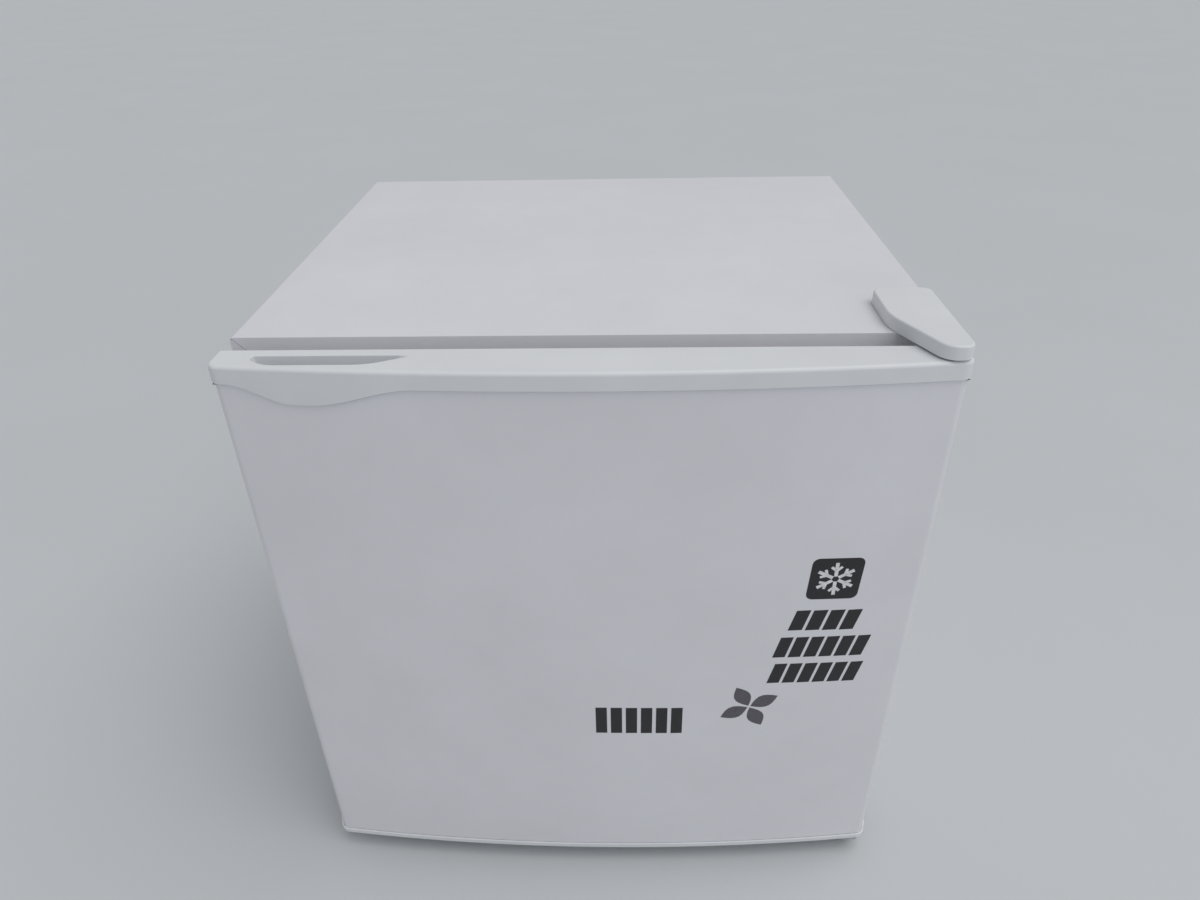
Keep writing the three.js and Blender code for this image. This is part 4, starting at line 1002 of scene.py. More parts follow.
def grip_paths():
    """The grip's mouth from above, as a front and a back path between its two ends."""
    # Each corner is (across, back, radius).
    corners = [
        (GRIP_LEFT, GRIP_SPLIT, 0),
        (GRIP_LEFT, GRIP_FRONT + 8 * MM, 3.5 * MM),
        (GRIP_LEFT + 11 * MM, GRIP_FRONT, 7 * MM),
        (GRIP_RIGHT - 24 * MM, GRIP_FRONT, 9 * MM),
        (GRIP_RIGHT, GRIP_SPLIT, 0),
        (GRIP_RIGHT - 4 * MM, GRIP_BACK, 2 * MM),
        (GRIP_LEFT, GRIP_BACK, 1.9 * MM),
    ]
    bm = bmesh.new()
    face = plan_face(bm, [(x, y) for x, y, _ in corners])
    for vert, (_, _, radius) in zip(list(face.verts), corners):
        if radius:
            bend_corners(bm, [vert], radius, 5)
    bm.faces.ensure_lookup_table()
    points = [v.co.copy() for v in bm.faces[0].verts]
    bm.free()
    ends = [
        min(range(len(points)), key=lambda i: (points[i] - Vector((x, GRIP_SPLIT, 0))).length)
        for x in (GRIP_LEFT, GRIP_RIGHT)
    ]
    loop = points[ends[0] :] + points[: ends[0]]
    turn = (ends[1] - ends[0]) % len(points)
    one, other = loop[1:turn], loop[turn + 1 :][::-1]
    front, back = sorted((one, other), key=lambda path: sum(p.y for p in path) / len(path))
    return front, back


def open_grip(bm, sizes):
    """Sinks the finger grip into the cap's top."""
    cut_along(bm, flat_faces(bm, 2, DOOR_TOP), [((0, GRIP_SPLIT, 0), (0, 1, 0))])
    upper = DOOR_TOP - MM
    line = [e for e in bm.edges if all(abs(v.co.y - GRIP_SPLIT) < TINY and v.co.z > upper for v in e.verts)]
    edge = max(line, key=lambda e: e.calc_length())
    ends = []
    for x in (GRIP_LEFT, GRIP_RIGHT):
        start = min(edge.verts, key=lambda v: v.co.x)
        share = (x - start.co.x) / edge.calc_length()
        edge, vert = bmesh.utils.edge_split(edge, start, share)
        edge = max(vert.link_edges, key=lambda e: e.other_vert(vert).co.x)
        ends.append(vert)

    def between_ends(side):
        """The faces that both ends touch, on one side of the line."""
        shared = [f for f in ends[0].link_faces if f in ends[1].link_faces]
        return [f for f in shared if (f.calc_center_median().y - GRIP_SPLIT) * side > 0]

    mouth = []
    for path in grip_paths():
        side = -1 if path[len(path) // 2].y < GRIP_SPLIT else 1
        coords = [(p.x, p.y, DOOR_TOP) for p in path]
        bmesh.utils.face_split(between_ends(side)[0], ends[0], ends[1], coords=coords)
        mouth.append(min(between_ends(side), key=lambda f: f.calc_area()))
    floor = pull(bm, mouth, (0, 0, -sizes.grip_depth))
    bmesh.ops.delete(bm, geom=mouth, context="FACES_ONLY")
    middle = (GRIP_FRONT + GRIP_BACK) / 2
    for vert in once(v for f in floor for v in f.verts):
        vert.co.y = middle + (vert.co.y - middle) * GRIP_TAPER
        if vert.co.x > GRIP_RIGHT - 40 * MM:
            vert.co.x -= GRIP_RAMP
        elif vert.co.x < GRIP_LEFT + 12 * MM:
            vert.co.x += 3 * MM
    bmesh.ops.dissolve_edges(bm, edges=[e for e in floor[0].edges if e in floor[1].edges], use_verts=False)
    lip = [e for e in rim(grip_walls(bm)) if e.verts[0].co.z > upper]
    soften(bm, lip, 1.6 * MM, 4)
    root = [e for e in rim(grip_walls(bm)) if e.verts[0].co.z < DOOR_TOP - sizes.grip_depth + MM]
    soften(bm, root, 2.5 * MM, 4)


def grip_walls(bm):
    """The upright walls of the grip."""

    def is_wall(face):
        centre = face.calc_center_median()
        heights = [v.co.z for v in face.verts]
        inside = GRIP_FRONT - MM < centre.y < GRIP_BACK + MM and GRIP_LEFT - MM < centre.x < GRIP_RIGHT + MM
        return inside and max(heights) - min(heights) > 10 * MM

    return [f for f in bm.faces if is_wall(f)]


CAP_WALL = 1.3 * MM


def top_cap(sizes):
    """The top of the door: a rounded rim, a finger grip, and an edge that dips in front of the grip."""
    bm = bmesh.new()
    face = door_plan(bm, 0, DOOR_BACK, SEAM)
    pull(bm, [face], (0, 0, DOOR_TOP - SEAM))
    bmesh.ops.delete(bm, geom=[face], context="FACES_ONLY")
    round_door_corners(bm, 0, sizes.corner)
    soften(bm, rim(flat_faces(bm, 2, DOOR_TOP)), sizes.cap_edge, 4)
    skirt = [f for f in bm.faces if f.calc_center_median().y < RETURNS and reaches_seam(f)]
    cut_along(bm, skirt, apron_planes())
    for vert in bm.verts:
        if abs(vert.co.z - SEAM) < TINY and vert.co.y < RETURNS:
            vert.co.z -= apron_drop(vert.co.x, sizes)
    open_grip(bm, sizes)
    piece("door_top_moulding", bm, "door", "cap", ["door_top_cap"], wall=CAP_WALL)


def reaches_seam(face):
    """Whether a face of the cap hangs down to the seam."""
    return min(v.co.z for v in face.verts) < SEAM + 0.1 * MM


LOW_CAP_EDGE = 1.2 * MM
LOW_CAP_RISE = 9 * MM  # how much higher the bottom cap stands at the door's sides
LOW_CAP_RUN = 4 * MM  # the depth over which it rises


def bottom_cap(sizes):
    """The moulded foot of the door: a thin strip in front that rises along the sides."""
    strip_top = LOW_CAP[1].z
    bm = bmesh.new()
    face = door_plan(bm, 0, DOOR_BACK, DOOR_LOW)
    pull(bm, [face], (0, 0, strip_top - DOOR_LOW))
    round_door_corners(bm, 0, sizes.corner)
    bmesh.ops.delete(bm, geom=flat_faces(bm, 2, strip_top), context="FACES_ONLY")
    soften(bm, rim(flat_faces(bm, 2, DOOR_LOW)), LOW_CAP_EDGE, 3)
    behind_corner = door_face_y(DOOR_HALF) + sizes.corner * 0.6
    for vert in bm.verts:
        if vert.co.z > strip_top - TINY and abs(vert.co.x) > DOOR_HALF - MM:
            vert.co.z += LOW_CAP_RISE * smooth((vert.co.y - behind_corner) / LOW_CAP_RUN)
    piece("door_bottom_moulding", bm, "door", "cap", ["door_bottom_cap"], wall=CAP_WALL)


JOGGLE = 0.8 * MM
JOGGLE_LOW = SEAM - 1.0 * MM
JOGGLE_HIGH = SEAM - 0.3 * MM


def door_front(sizes):
    """The bowed steel front with its returned sides, joggled inwards where it slips under the top cap."""
    low, high = SKIN
    bm = bmesh.new()
    lid = [door_plan(bm, CAP_PROUD, high.y, low.z)]
    for top in (JOGGLE_LOW, JOGGLE_HIGH, high.z):
        height = top - min(v.co.z for v in lid[0].verts)
        lower, lid = lid, pull(bm, lid, (0, 0, height))
        bmesh.ops.delete(bm, geom=lower, context="FACES_ONLY")
    bmesh.ops.delete(bm, geom=lid, context="FACES_ONLY")
    bmesh.ops.delete(bm, geom=flat_faces(bm, 1, high.y), context="FACES")
    round_door_corners(bm, CAP_PROUD, sizes.corner - CAP_PROUD)
    front = [f for f in bm.faces if f.calc_center_median().y < RETURNS]
    cut_along(bm, front, apron_planes())
    for vert in bm.verts:
        if vert.co.z > (JOGGLE_LOW + JOGGLE_HIGH) / 2:
            vert.co.x *= 1 - JOGGLE / DOOR_HALF
            vert.co.y += JOGGLE if vert.co.y < RETURNS else 0
    dip(bm, JOGGLE_LOW - MM, sizes)
    piece("door_front_sheet", bm, "door", "enamel", ["door_skin"], wall=STEEL)


# The seal's cross-section, as (inwards, backwards) in mm from its outer front corner.
SEAL_PROFILE = [
    (4.0, 0.0),
    (3.0, 1.5),
    (5.0, 3.0),
    (2.6, 4.8),
    (4.6, 6.4),
    (0.6, 7.8),
    (0.0, 9.0),
    (0.0, 13.2),
    (1.2, 14.4),
    (16.8, 14.4),
    (18.0, 13.2),
    (18.0, 9.0),
    (17.4, 7.8),
    (12.4, 6.4),
    (14.6, 4.8),
    (12.0, 3.0),
    (14.0, 1.5),
    (13.0, 0.0),
]


def seal_ring():
    """The door seal: a folded bellows with mitred corners."""
    low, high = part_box("door_gasket")
    middle = (low.z + high.z) / 2

    def place(vert, inset, depth):
        top = vert.co.z > middle
        vert.co.x = math.copysign(high.x - inset * MM, vert.co.x)
        vert.co.y = low.y + depth * MM
        vert.co.z = high.z - inset * MM if top else low.z + inset * MM

    bm = bmesh.new()
    corners = [bm.verts.new(p) for p in upright_rectangle(low, high, low.y)]
    edges = [bm.edges.new((corners[i - 1], corners[i])) for i in range(4)]
    for vert in corners:
        place(vert, *SEAL_PROFILE[0])
    for step in SEAL_PROFILE[1:] + SEAL_PROFILE[:1]:
        made = bmesh.ops.extrude_edge_only(bm, edges=edges)["geom"]
        moved = set(verts_of(made))
        edges = [e for e in edges_of(made) if moved.issuperset(e.verts)]
        for vert in moved:
            place(vert, *step)
    piece("door_seal", bm, "door", "seal", ["door_gasket"], sharp=30)


RIDGE_CLEAR = 9.5 * MM  # between the door's ridge and the cavity's walls
RIDGE_WIDTH = 22 * MM
RIDGE_HALF = CAVITY_HALF - RIDGE_CLEAR
RIDGE_FLOOR = CAVITY_FLOOR + RIDGE_CLEAR
RIDGE_CEILING = CAVITY_CEILING - RIDGE_CLEAR
DOOR_SHEET = 1.3 * MM

BOSS_REACH = 4 * MM
BOSS_LENGTH = 12 * MM
BOSS_HEIGHT = 8 * MM
BOSS_BACK = 5 * MM  # the bin's back to the boss
BOSS_LIFT = 18 * MM  # the bin's underside to the boss


def door_liner(sizes):
    """The inner face of the door: a formed sheet with a raised frame, and four bosses for the bins."""
    low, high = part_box("door_inner_liner")
    bm = bmesh.new()
    face = bm.faces.new([bm.verts.new(p) for p in upright_rectangle(low, high, DOOR_BACK)])
    spans_x = [-RIDGE_HALF, -RIDGE_HALF + RIDGE_WIDTH, RIDGE_HALF - RIDGE_WIDTH, RIDGE_HALF]
    spans_z = [RIDGE_FLOOR, RIDGE_FLOOR + RIDGE_WIDTH, RIDGE_CEILING - RIDGE_WIDTH, RIDGE_CEILING]
    planes = [((x, 0, 0), (1, 0, 0)) for x in spans_x] + [((0, 0, z), (0, 0, 1)) for z in spans_z]
    faces = cut_along(bm, [face], planes)

    def on_ridge(point):
        outer = spans_x[0] < point.x < spans_x[3] and spans_z[0] < point.z < spans_z[3]
        inner = spans_x[1] < point.x < spans_x[2] and spans_z[1] < point.z < spans_z[2]
        return outer and not inner

    ridge = [f for f in faces if on_ridge(f.calc_center_median())]
    pull(bm, ridge, (0, high.y - DOOR_BACK, 0))
    bmesh.ops.delete(bm, geom=ridge, context="FACES_ONLY")
    soften(bm, sharp_turns(bm), sizes.ridge_edge, 4)
    piece("door_inner_sheet", bm, "door", "liner", ["door_inner_liner"], wall=DOOR_SHEET)
    bm = bmesh.new()
    wall = RIDGE_HALF - RIDGE_WIDTH
    for name in ("lower_door_bin", "upper_door_bin"):
        bin_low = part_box(name)[0]
        y = bin_low.y + BOSS_BACK
        z = bin_low.z + BOSS_LIFT
        for side in (-1, 1):
            x0, x1 = sorted((side * (wall - BOSS_REACH), side * (wall + 0.5 * MM)))
            block(bm, (x0, y, z), (x1, y + BOSS_LENGTH, z + BOSS_HEIGHT), 1.2 * MM)
    piece("door_bin_bosses", bm, "door", "liner")


BIN_WALL = 1.8 * MM
BIN_TAPER = 6 * MM
POCKET_DEPTH = 4.5 * MM
POCKET_PLAY = 0.6 * MM  # on each side of the boss
POCKET_FRONT = BOSS_BACK - POCKET_PLAY
POCKET_BACK = BOSS_BACK + BOSS_LENGTH + POCKET_PLAY
POCKET_TOP = BOSS_LIFT + BOSS_HEIGHT + GAP


def door_bin(name, body):
    """A moulded clear bin with rounded corners, and a pocket in each side that drops over a boss."""
    low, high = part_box(name)
    bm = bmesh.new()
    outline = [(low.x, low.y), (high.x, low.y), (high.x - BIN_TAPER, high.y), (low.x + BIN_TAPER, high.y)]
    face = round_plan(bm, plan_face(bm, outline, low.z), 12 * MM, 6)
    top = pull(bm, [face], (0, 0, high.z - low.z))
    bottom = flat_faces(bm, 2, low.z)
    bmesh.ops.delete(bm, geom=top, context="FACES_ONLY")
    soften(bm, rim(bottom), 4 * MM, 4)
    inner = high.x - POCKET_DEPTH
    y0, y1, z1 = low.y + POCKET_FRONT, low.y + POCKET_BACK, low.z + POCKET_TOP
    planes = [((x, 0, 0), (1, 0, 0)) for x in (-inner, inner)]
    planes += [((0, y, 0), (0, 1, 0)) for y in (y0, y1)] + [((0, 0, z1), (0, 0, 1))]
    faces = cut_along(bm, bm.faces, planes)
    middles = [(f, f.calc_center_median()) for f in faces]
    taken = [f for f, at in middles if abs(at.x) > inner and y0 < at.y < y1 and at.z < z1]
    bmesh.ops.delete(bm, geom=taken, context="FACES")
    piece(name + "_moulding", bm, body, "clear", [name], wall=BIN_WALL)
    edge = 0.5 * MM
    bm = bmesh.new()
    for side in (-1, 1):
        wall = side * (inner - BIN_WALL)
        x0, x1 = sorted((wall, side * inner))
        block(bm, (x0, y0 - BIN_WALL, low.z + 0.1 * MM), (x1, y1 + BIN_WALL, z1 + BIN_WALL), edge)
        x0, x1 = sorted((wall, side * (high.x - BIN_WALL)))
        for y in (y0 - BIN_WALL, y1):
            block(bm, (x0, y, low.z + 0.5 * MM), (x1, y + BIN_WALL, z1 + BIN_WALL), edge)
        block(bm, (x0, y0, z1), (x1, y1, z1 + BIN_WALL), edge)
    piece(name + "_pockets", bm, body, "clear")


# ---- Printed marks on the door ----


MARK_STEP = 4 * MM  # a mark's facets as it follows the bow
MARK_FILM = 0.1 * MM


def lay_on_door(bm, lift):
    """Wraps flat shapes, drawn in X and Z, on to the bowed front."""
    xs = [v.co.x for v in bm.verts]
    count = int((max(xs) - min(xs)) / MARK_STEP)
    planes = [((min(xs) + (i + 1) * MARK_STEP, 0, 0), (1, 0, 0)) for i in range(count)]
    cut_along(bm, bm.faces, planes)
    for vert in bm.verts:
        vert.co.y = door_face_y(vert.co.x, CAP_PROUD) - lift
    bmesh.ops.recalc_face_normals(bm, faces=bm.faces)
    for face in bm.faces:
        face.smooth = False
        if face.normal.y > 0:
            face.normal_flip()


def mark(name, shapes, material, lift=0.12):
    """A sticker made of closed outlines in X and Z, all in millimetres."""
    bm = bmesh.new()
    for points in shapes:
        bm.faces.new([bm.verts.new((x * MM, 0, z * MM)) for x, z in points])
    lay_on_door(bm, lift * MM)
    made = shown(name, bm, material)
    solid = made.modifiers.new("film", "SOLIDIFY")
    solid.thickness = MARK_FILM
    solid.offset = -1.0
    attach(made, "door")


def dashes(x0, x1, z0, z1, count, slant=5.0, rise=-2.0, space=2.2):
    """A row of slanted blocks that falls a little to the right."""
    shapes = []
    pitch = (x1 - x0 + space) / count
    for i in range(count):
        left = x0 + i * pitch
        right = left + pitch - space
        low = z0 + rise * i / count
        high = z1 + rise * i / count
        shapes.append([(left, low), (right, low), (right + slant, high), (left + slant, high)])
    return shapes


def heading(angle):
    """A direction in the plane."""
    return Vector((math.cos(angle), math.sin(angle)))


def snowflake(cx, cz, radius, width):
    """Six arms, each with two barbs."""
    centre = Vector((cx, cz))
    hub = width * 0.9
    shapes = []
    for i in range(6):
        angle = i * math.pi / 3 + math.pi / 6
        along = heading(angle)
        shapes.append(strip(centre + along * hub, along, radius - hub, width))
        for turn in (-1, 1):
            barb = heading(angle + turn * 0.8)
            shapes.append(strip(centre + along * radius * 0.5, barb, radius * 0.36, width * 0.8))
    return shapes


def strip(origin, along, reach, width):
    """A straight band from a point."""
    across = Vector((-along.y, along.x)) * width / 2
    end = origin + along * reach
    return [tuple(p) for p in (origin - across, end - across, end + across, origin + across)]


def rounded_square(cx, cz, reach, radius, lean):
    """A square with round corners that leans a little."""
    shape = []
    for i in range(4):
        corner = Vector((1 if i in (0, 3) else -1, 1 if i in (0, 1) else -1)) * (reach - radius)
        for j in range(5):
            at = corner + heading(math.radians(90 * i + 22.5 * j)) * radius
            shape.append((cx + at.x + at.y * lean, cz + at.y - at.x * lean * 0.5))
    return [shape]


def leaf(centre, angle, reach, width, steps=7):
    """A pointed leaf with curved sides."""
    stem = 1.2
    along = heading(angle)
    across = Vector((-along.y, along.x))
    sides = []
    for side in (1, -1):
        for i in range(steps):
            t = i / steps if side > 0 else 1 - i / steps
            bulge = across * side * width * math.sin(math.pi * t)
            sides.append(tuple(centre + along * (stem + reach * t) + bulge))
    return sides


def door_marks():
    """Plain marks where the door carries stickers: a frost sign, rows of blocks and a four-leaf sign."""
    frost = (171, 324.5)
    mark("mark_frost_ground", rounded_square(*frost, 18.5, 5, 0.06), "dark print")
    mark("mark_frost", snowflake(*frost, 14.5, 2.6), "pale print", 0.22)
    mark("mark_row_1", dashes(142, 190, 277, 296, 4), "dark print")
    mark("mark_row_2", dashes(133, 200, 250, 270, 6), "dark print")
    mark("mark_row_3", dashes(131, 198, 223, 243, 6), "dark print")
    mark("mark_row_4", dashes(0, 68, 170, 199, 6, 0.0, -1.0, 3.0), "dark print")
    centre = Vector((119.5, 197.5))
    leaves = [leaf(centre, math.radians(45 * (2 * i + 1) - 18), 23, 6.5) for i in range(4)]
    mark("mark_leaves", leaves, "grey print")


# ---- Inside ----

LINER_WALL = 1.4 * MM
LEDGE_REACH = 6 * MM
LEDGE_THICK = 3.5 * MM
LEDGE_SPACE = 9 * MM  # the shelf's underside to the ledge over it


def tub(sizes):
    """The vacuum-formed liner with its step over the compressor, its lip and its shelf ledges."""
    low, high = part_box("inner_liner")
    step_y = BAY[0].y - STEP_FOAM - LINER_SHEET
    step_z = BAY[1].z + STEP_FOAM + LINER_SHEET
    profile = [
        (low.y, CAVITY_FLOOR),
        (step_y, CAVITY_FLOOR),
        (step_y, step_z),
        (CAVITY_BACK, step_z),
        (CAVITY_BACK, CAVITY_CEILING),
        (low.y, CAVITY_CEILING),
    ]
    bm = bmesh.new()
    face = bm.faces.new([bm.verts.new((-CAVITY_HALF, y, z)) for y, z in profile])
    pull(bm, [face], (2 * CAVITY_HALF, 0, 0))
    bmesh.ops.delete(bm, geom=flat_faces(bm, 1, low.y), context="FACES_ONLY")
    soften(bm, sharp_turns(bm), sizes.tub_corner, 5)
    bmesh.ops.remove_doubles(bm, verts=bm.verts, dist=TINY)
    mouth = [e for e in bm.edges if len(e.link_faces) == 1]
    made = bmesh.ops.extrude_edge_only(bm, edges=mouth)["geom"]
    # The lip is the mouth's outline scaled up to the liner's outer size.
    middle = (CAVITY_FLOOR + CAVITY_CEILING) / 2
    wide = high.x / CAVITY_HALF
    tall = (high.z - low.z) / (CAVITY_CEILING - CAVITY_FLOOR)
    shift = (high.z + low.z) / 2 - middle
    for vert in verts_of(made):
        vert.co.x *= wide
        vert.co.z = middle + shift + (vert.co.z - middle) * tall
    turn = [e for e in mouth if e.is_valid and len(e.link_faces) == 2]
    soften(bm, turn, 3 * MM, 3)
    names = ["inner_liner"]
    piece("liner_tub", bm, "cabinet", "liner", names, wall=LINER_WALL, outward=True)
    shelf_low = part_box("wire_shelf")[0]
    under = shelf_low.z - GAP
    over = shelf_low.z + LEDGE_SPACE
    back = CAVITY_BACK - 4 * MM
    bm = bmesh.new()
    for side in (-1, 1):
        x0, x1 = sorted((side * (CAVITY_HALF - LEDGE_REACH), side * (CAVITY_HALF + 0.5 * MM)))
        block(bm, (x0, FRONT + 30 * MM, under - LEDGE_THICK), (x1, back, under), 1.4 * MM, 3)
        block(bm, (x0, FRONT + 60 * MM, over), (x1, back, over + LEDGE_THICK), 1.4 * MM, 3)
    piece("shelf_ledges", bm, "cabinet", "liner")


ICE_WALL = 1.4 * MM
ICE_HANGER = 6.2 * MM  # the sleeve's top to the hangers' top
HANGER_HALF = 9 * MM
HANGER_END = 30 * MM  # the sleeve's end to a pad's
CHANNEL_RADIUS = 2.6 * MM
CHANNEL_BEND = 12 * MM
CHANNEL_BORDER = 22 * MM
CHANNEL_ROWS = 7
CHANNEL_SUNK = 1.6 * MM  # the sleeve's outside to the channel's middle


def ice_box():
    """The roll-bonded aluminium sleeve with its raised refrigerant channels, and its hangers."""
    low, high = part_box("evaporator")
    top = high.z - ICE_HANGER
    bm = bmesh.new()
    outline = [(low.x, low.z), (high.x, low.z), (high.x, top), (low.x, top)]
    face = bm.faces.new([bm.verts.new((x, low.y, z)) for x, z in outline])
    pull(bm, [face], (0, high.y - low.y, 0))
    bmesh.ops.delete(bm, geom=[face], context="FACES_ONLY")
    soften(bm, sharp_turns(bm), 5 * MM, 4)
    piece("evaporator_sleeve", bm, "cabinet", "aluminium", ["evaporator"], wall=ICE_WALL)
    bm = bmesh.new()
    for share in (0.2, 0.8):
        x = low.x + (high.x - low.x) * share
        pad_low = (x - HANGER_HALF, low.y + HANGER_END, top + 0.1 * MM)
        pad_high = (x + HANGER_HALF, high.y - HANGER_END, high.z)
        block(bm, pad_low, pad_high, 1 * MM)
    piece("evaporator_hangers", bm, "cabinet", "ice frame")
    ends = [low.x + CHANNEL_BORDER, high.x - CHANNEL_BORDER]
    depth = high.y - low.y - 2 * CHANNEL_BORDER
    winding = []
    for i in range(CHANNEL_ROWS):
        y = low.y + CHANNEL_BORDER + i * depth / (CHANNEL_ROWS - 1)
        winding += [(x, y) for x in (ends[::-1] if i % 2 else ends)]
    for name, z in (("floor", low.z + CHANNEL_SUNK), ("ceiling", top - CHANNEL_SUNK)):
        path = [(x, y, z) for x, y in winding]
        name = "evaporator_channel_" + name
        tube(name, path, CHANNEL_RADIUS, CHANNEL_BEND, "cabinet", "aluminium")


FLAP_HALF = 1.5 * MM  # half the flap's thickness
FLAP_FACE = 2.3 * MM  # how far the border stands before the flap's middle
FLAP_SUNK = 1 * MM  # how deep what is added sits in the flap
FLAP_BORDER = 7 * MM
FLAP_PIN = 2 * MM


def flap():
    """The frosted flap with a raised border and a pull along its lower edge."""
    low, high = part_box("ice_box_flap")
    axis = flap_axis()
    bm = bmesh.new()
    x0, x1 = low.x + 4 * MM, high.x - 4 * MM
    block(bm, (x0, axis.y - FLAP_HALF, low.z), (x1, axis.y + FLAP_HALF, axis.z + 2.5 * MM), 0.7 * MM)
    left, right = x0 + FLAP_BORDER, x1 - FLAP_BORDER
    foot, head = low.z + 8 * MM, axis.z - 10 * MM
    face, sunk = axis.y - FLAP_FACE, axis.y - FLAP_SUNK
    for z0, z1 in ((foot, low.z + 10 * MM), (axis.z - 12 * MM, head)):
        block(bm, (left, face, z0), (right, sunk, z1), 0.6 * MM)
    for x in (left, right):
        block(bm, (x - 1 * MM, face, foot), (x + 1 * MM, sunk, head), 0.6 * MM)
    block(bm, (x0 + 90 * MM, low.y, low.z), (x1 - 90 * MM, sunk, low.z + 4 * MM), 1.4 * MM, 3)
    for end, root in ((low.x, x0 + 1 * MM), (high.x, x1 - 1 * MM)):
        a, b = sorted((end, root))
        rod(bm, (a, axis.y, axis.z), (b, axis.y, axis.z), FLAP_PIN, 20)
    piece("flap_moulding", bm, "flap", "frosted", ["ice_box_flap"])


def flap_axis():
    """A point on the line that the flap turns about."""
    for joint in frame["joints"]:
        if joint["name"] == "flap_swing":
            return Vector(joint["pos_m"])
    raise RuntimeError("the frame has no flap_swing joint")


TRAY_WALL = 1.8 * MM
TRAY_DEPTH = 16 * MM
TRAY_RAIL = 8.4 * MM  # the width of the rails that it slides on
TRAY_PULL = 100 * MM  # the tray's side to the pull's


def melt_tray():
    """The clear tray under the ice box, with side rails, a raised front and a pull."""
    low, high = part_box("drip_tray")
    rim_top = low.z + TRAY_DEPTH
    x0, x1 = low.x + TRAY_RAIL, high.x - TRAY_RAIL
    y0 = low.y + 2 * MM
    bm = bmesh.new()
    face = plan_face(bm, [(x0, y0), (x1, y0), (x1, high.y), (x0, high.y)], low.z)
    face = round_plan(bm, face, 5 * MM, 4)
    top = pull(bm, [face], (0, 0, TRAY_DEPTH))
    bmesh.ops.delete(bm, geom=top, context="FACES_ONLY")
    soften(bm, rim(flat_faces(bm, 2, low.z)), 3 * MM, 3)
    piece("tray_moulding", bm, "tray", "clear", ["drip_tray"], wall=TRAY_WALL)
    bm = bmesh.new()
    for left, right in ((low.x, x0), (x1, high.x)):
        block(bm, (left, y0, rim_top - TRAY_WALL), (right, high.y, rim_top), 0.7 * MM)
    block(bm, low, (high.x, y0 + 1.6 * MM, high.z), 0.9 * MM, 3)
    pull_high = (high.x - TRAY_PULL, low.y + 3 * MM, low.z + 5 * MM)
    block(bm, (low.x + TRAY_PULL, low.y, low.z), pull_high, 1.2 * MM, 3)
    piece("tray_rim", bm, "tray", "clear")


SHELF_FRAME = 2.5 * MM  # radius of the frame's wire
SHELF_WIRE = 1.4 * MM  # radius of the wires across it
SHELF_SPACING = 16 * MM


def shelf():
    """The welded shelf: a bent frame with thin wires across its top."""
    low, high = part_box("wire_shelf")
    z = low.z + SHELF_FRAME
    x0, x1 = low.x + SHELF_FRAME, high.x - SHELF_FRAME
    y0, y1 = low.y + SHELF_FRAME, high.y - SHELF_FRAME
    middle = (x0 + x1) / 2
    corners = [(middle, y0, z), (x1, y0, z), (x1, y1, z), (x0, y1, z), (x0, y0, z), (middle, y0, z)]
    tube("shelf_frame", corners, SHELF_FRAME, 9 * MM, "shelf", "wire", ["wire_shelf"])
    crossbar = SHELF_FRAME * 0.8
    bm = bmesh.new()
    rod(bm, (x0, (y0 + y1) / 2, z), (x1, (y0 + y1) / 2, z), crossbar, 14)
    count = int((x1 - x0 - SHELF_SPACING) / SHELF_SPACING)
    over = z + crossbar + SHELF_WIRE / 2
    for i in range(count + 1):
        x = middle + (i - count / 2) * SHELF_SPACING
        rod(bm, (x, y0 - 1 * MM, over), (x, y1 + 1 * MM, over), SHELF_WIRE, 12)
    piece("shelf_wires", bm, "shelf", "wire")


HOUSING_WALL = 1.8 * MM
DIAL_GAP = 0.8 * MM  # between the housing's front and the knob
GRIP_BAR_HALF = 2.5 * MM
DIAL_MARKS = 7


def thermostat():
    """The thermostat: a softened housing, a dial with rising marks, and its knob."""
    low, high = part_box("thermostat_housing")
    bm = bmesh.new()
    face = bm.faces.new([bm.verts.new(p) for p in upright_rectangle(low, high, high.y)])
    pull(bm, [face], (0, low.y - high.y, 0))
    bmesh.ops.delete(bm, geom=[face], context="FACES_ONLY")
    along = [e for e in bm.edges if abs(e.verts[0].co.y - e.verts[1].co.y) > MM]
    soften(bm, along, 6 * MM, 5)
    soften(bm, rim(flat_faces(bm, 1, low.y)), 2.5 * MM, 4)
    names = ["thermostat_housing"]
    piece("thermostat_cover", bm, "cabinet", "ice frame", names, wall=HOUSING_WALL)
    knob_low, knob_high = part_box("thermostat_knob")
    centre = Vector(((knob_low.x + knob_high.x) / 2, 0, (knob_low.z + knob_high.z) / 2))
    radius = (knob_high.x - knob_low.x) / 2
    back = low.y - DIAL_GAP
    bm = bmesh.new()
    profile = [
        (0, 0),
        (radius, 0),
        (radius, 2.2 * MM),
        (radius - 1 * MM, 4.2 * MM),
        (radius * 0.78, 5 * MM),
        (radius * 0.7, 11 * MM),
        (radius * 0.64, 12.6 * MM),
        (0, 13 * MM),
    ]
    turned(bm, profile, facing(centre.x, back, centre.z, (0, -1, 0)), 48)
    reach = radius - 2 * MM
    bar_low = (centre.x - GRIP_BAR_HALF, back - 15 * MM, centre.z - reach)
    bar_high = (centre.x + GRIP_BAR_HALF, back - 3 * MM, centre.z + reach)
    block(bm, bar_low, bar_high, 1.1 * MM, 3)
    rod(bm, (centre.x, back - 1 * MM, centre.z), (centre.x, knob_high.y, centre.z), 3 * MM, 20)
    piece("knob_moulding", bm, "knob", "ice frame", ["thermostat_knob"])
    bm = bmesh.new()
    for i in range(DIAL_MARKS):
        angle = math.radians(225 - i * 45)
        size = (0.5 + 0.13 * i) * MM
        at = centre + Vector((math.cos(angle), 0, math.sin(angle))) * (radius + 3.2 * MM)
        rod(bm, (at.x, low.y - 0.25 * MM, at.z), (at.x, low.y + 0.3 * MM, at.z), size, 14)
    piece("dial_marks", bm, "cabinet", "dark print")


# ---- Cooling ----


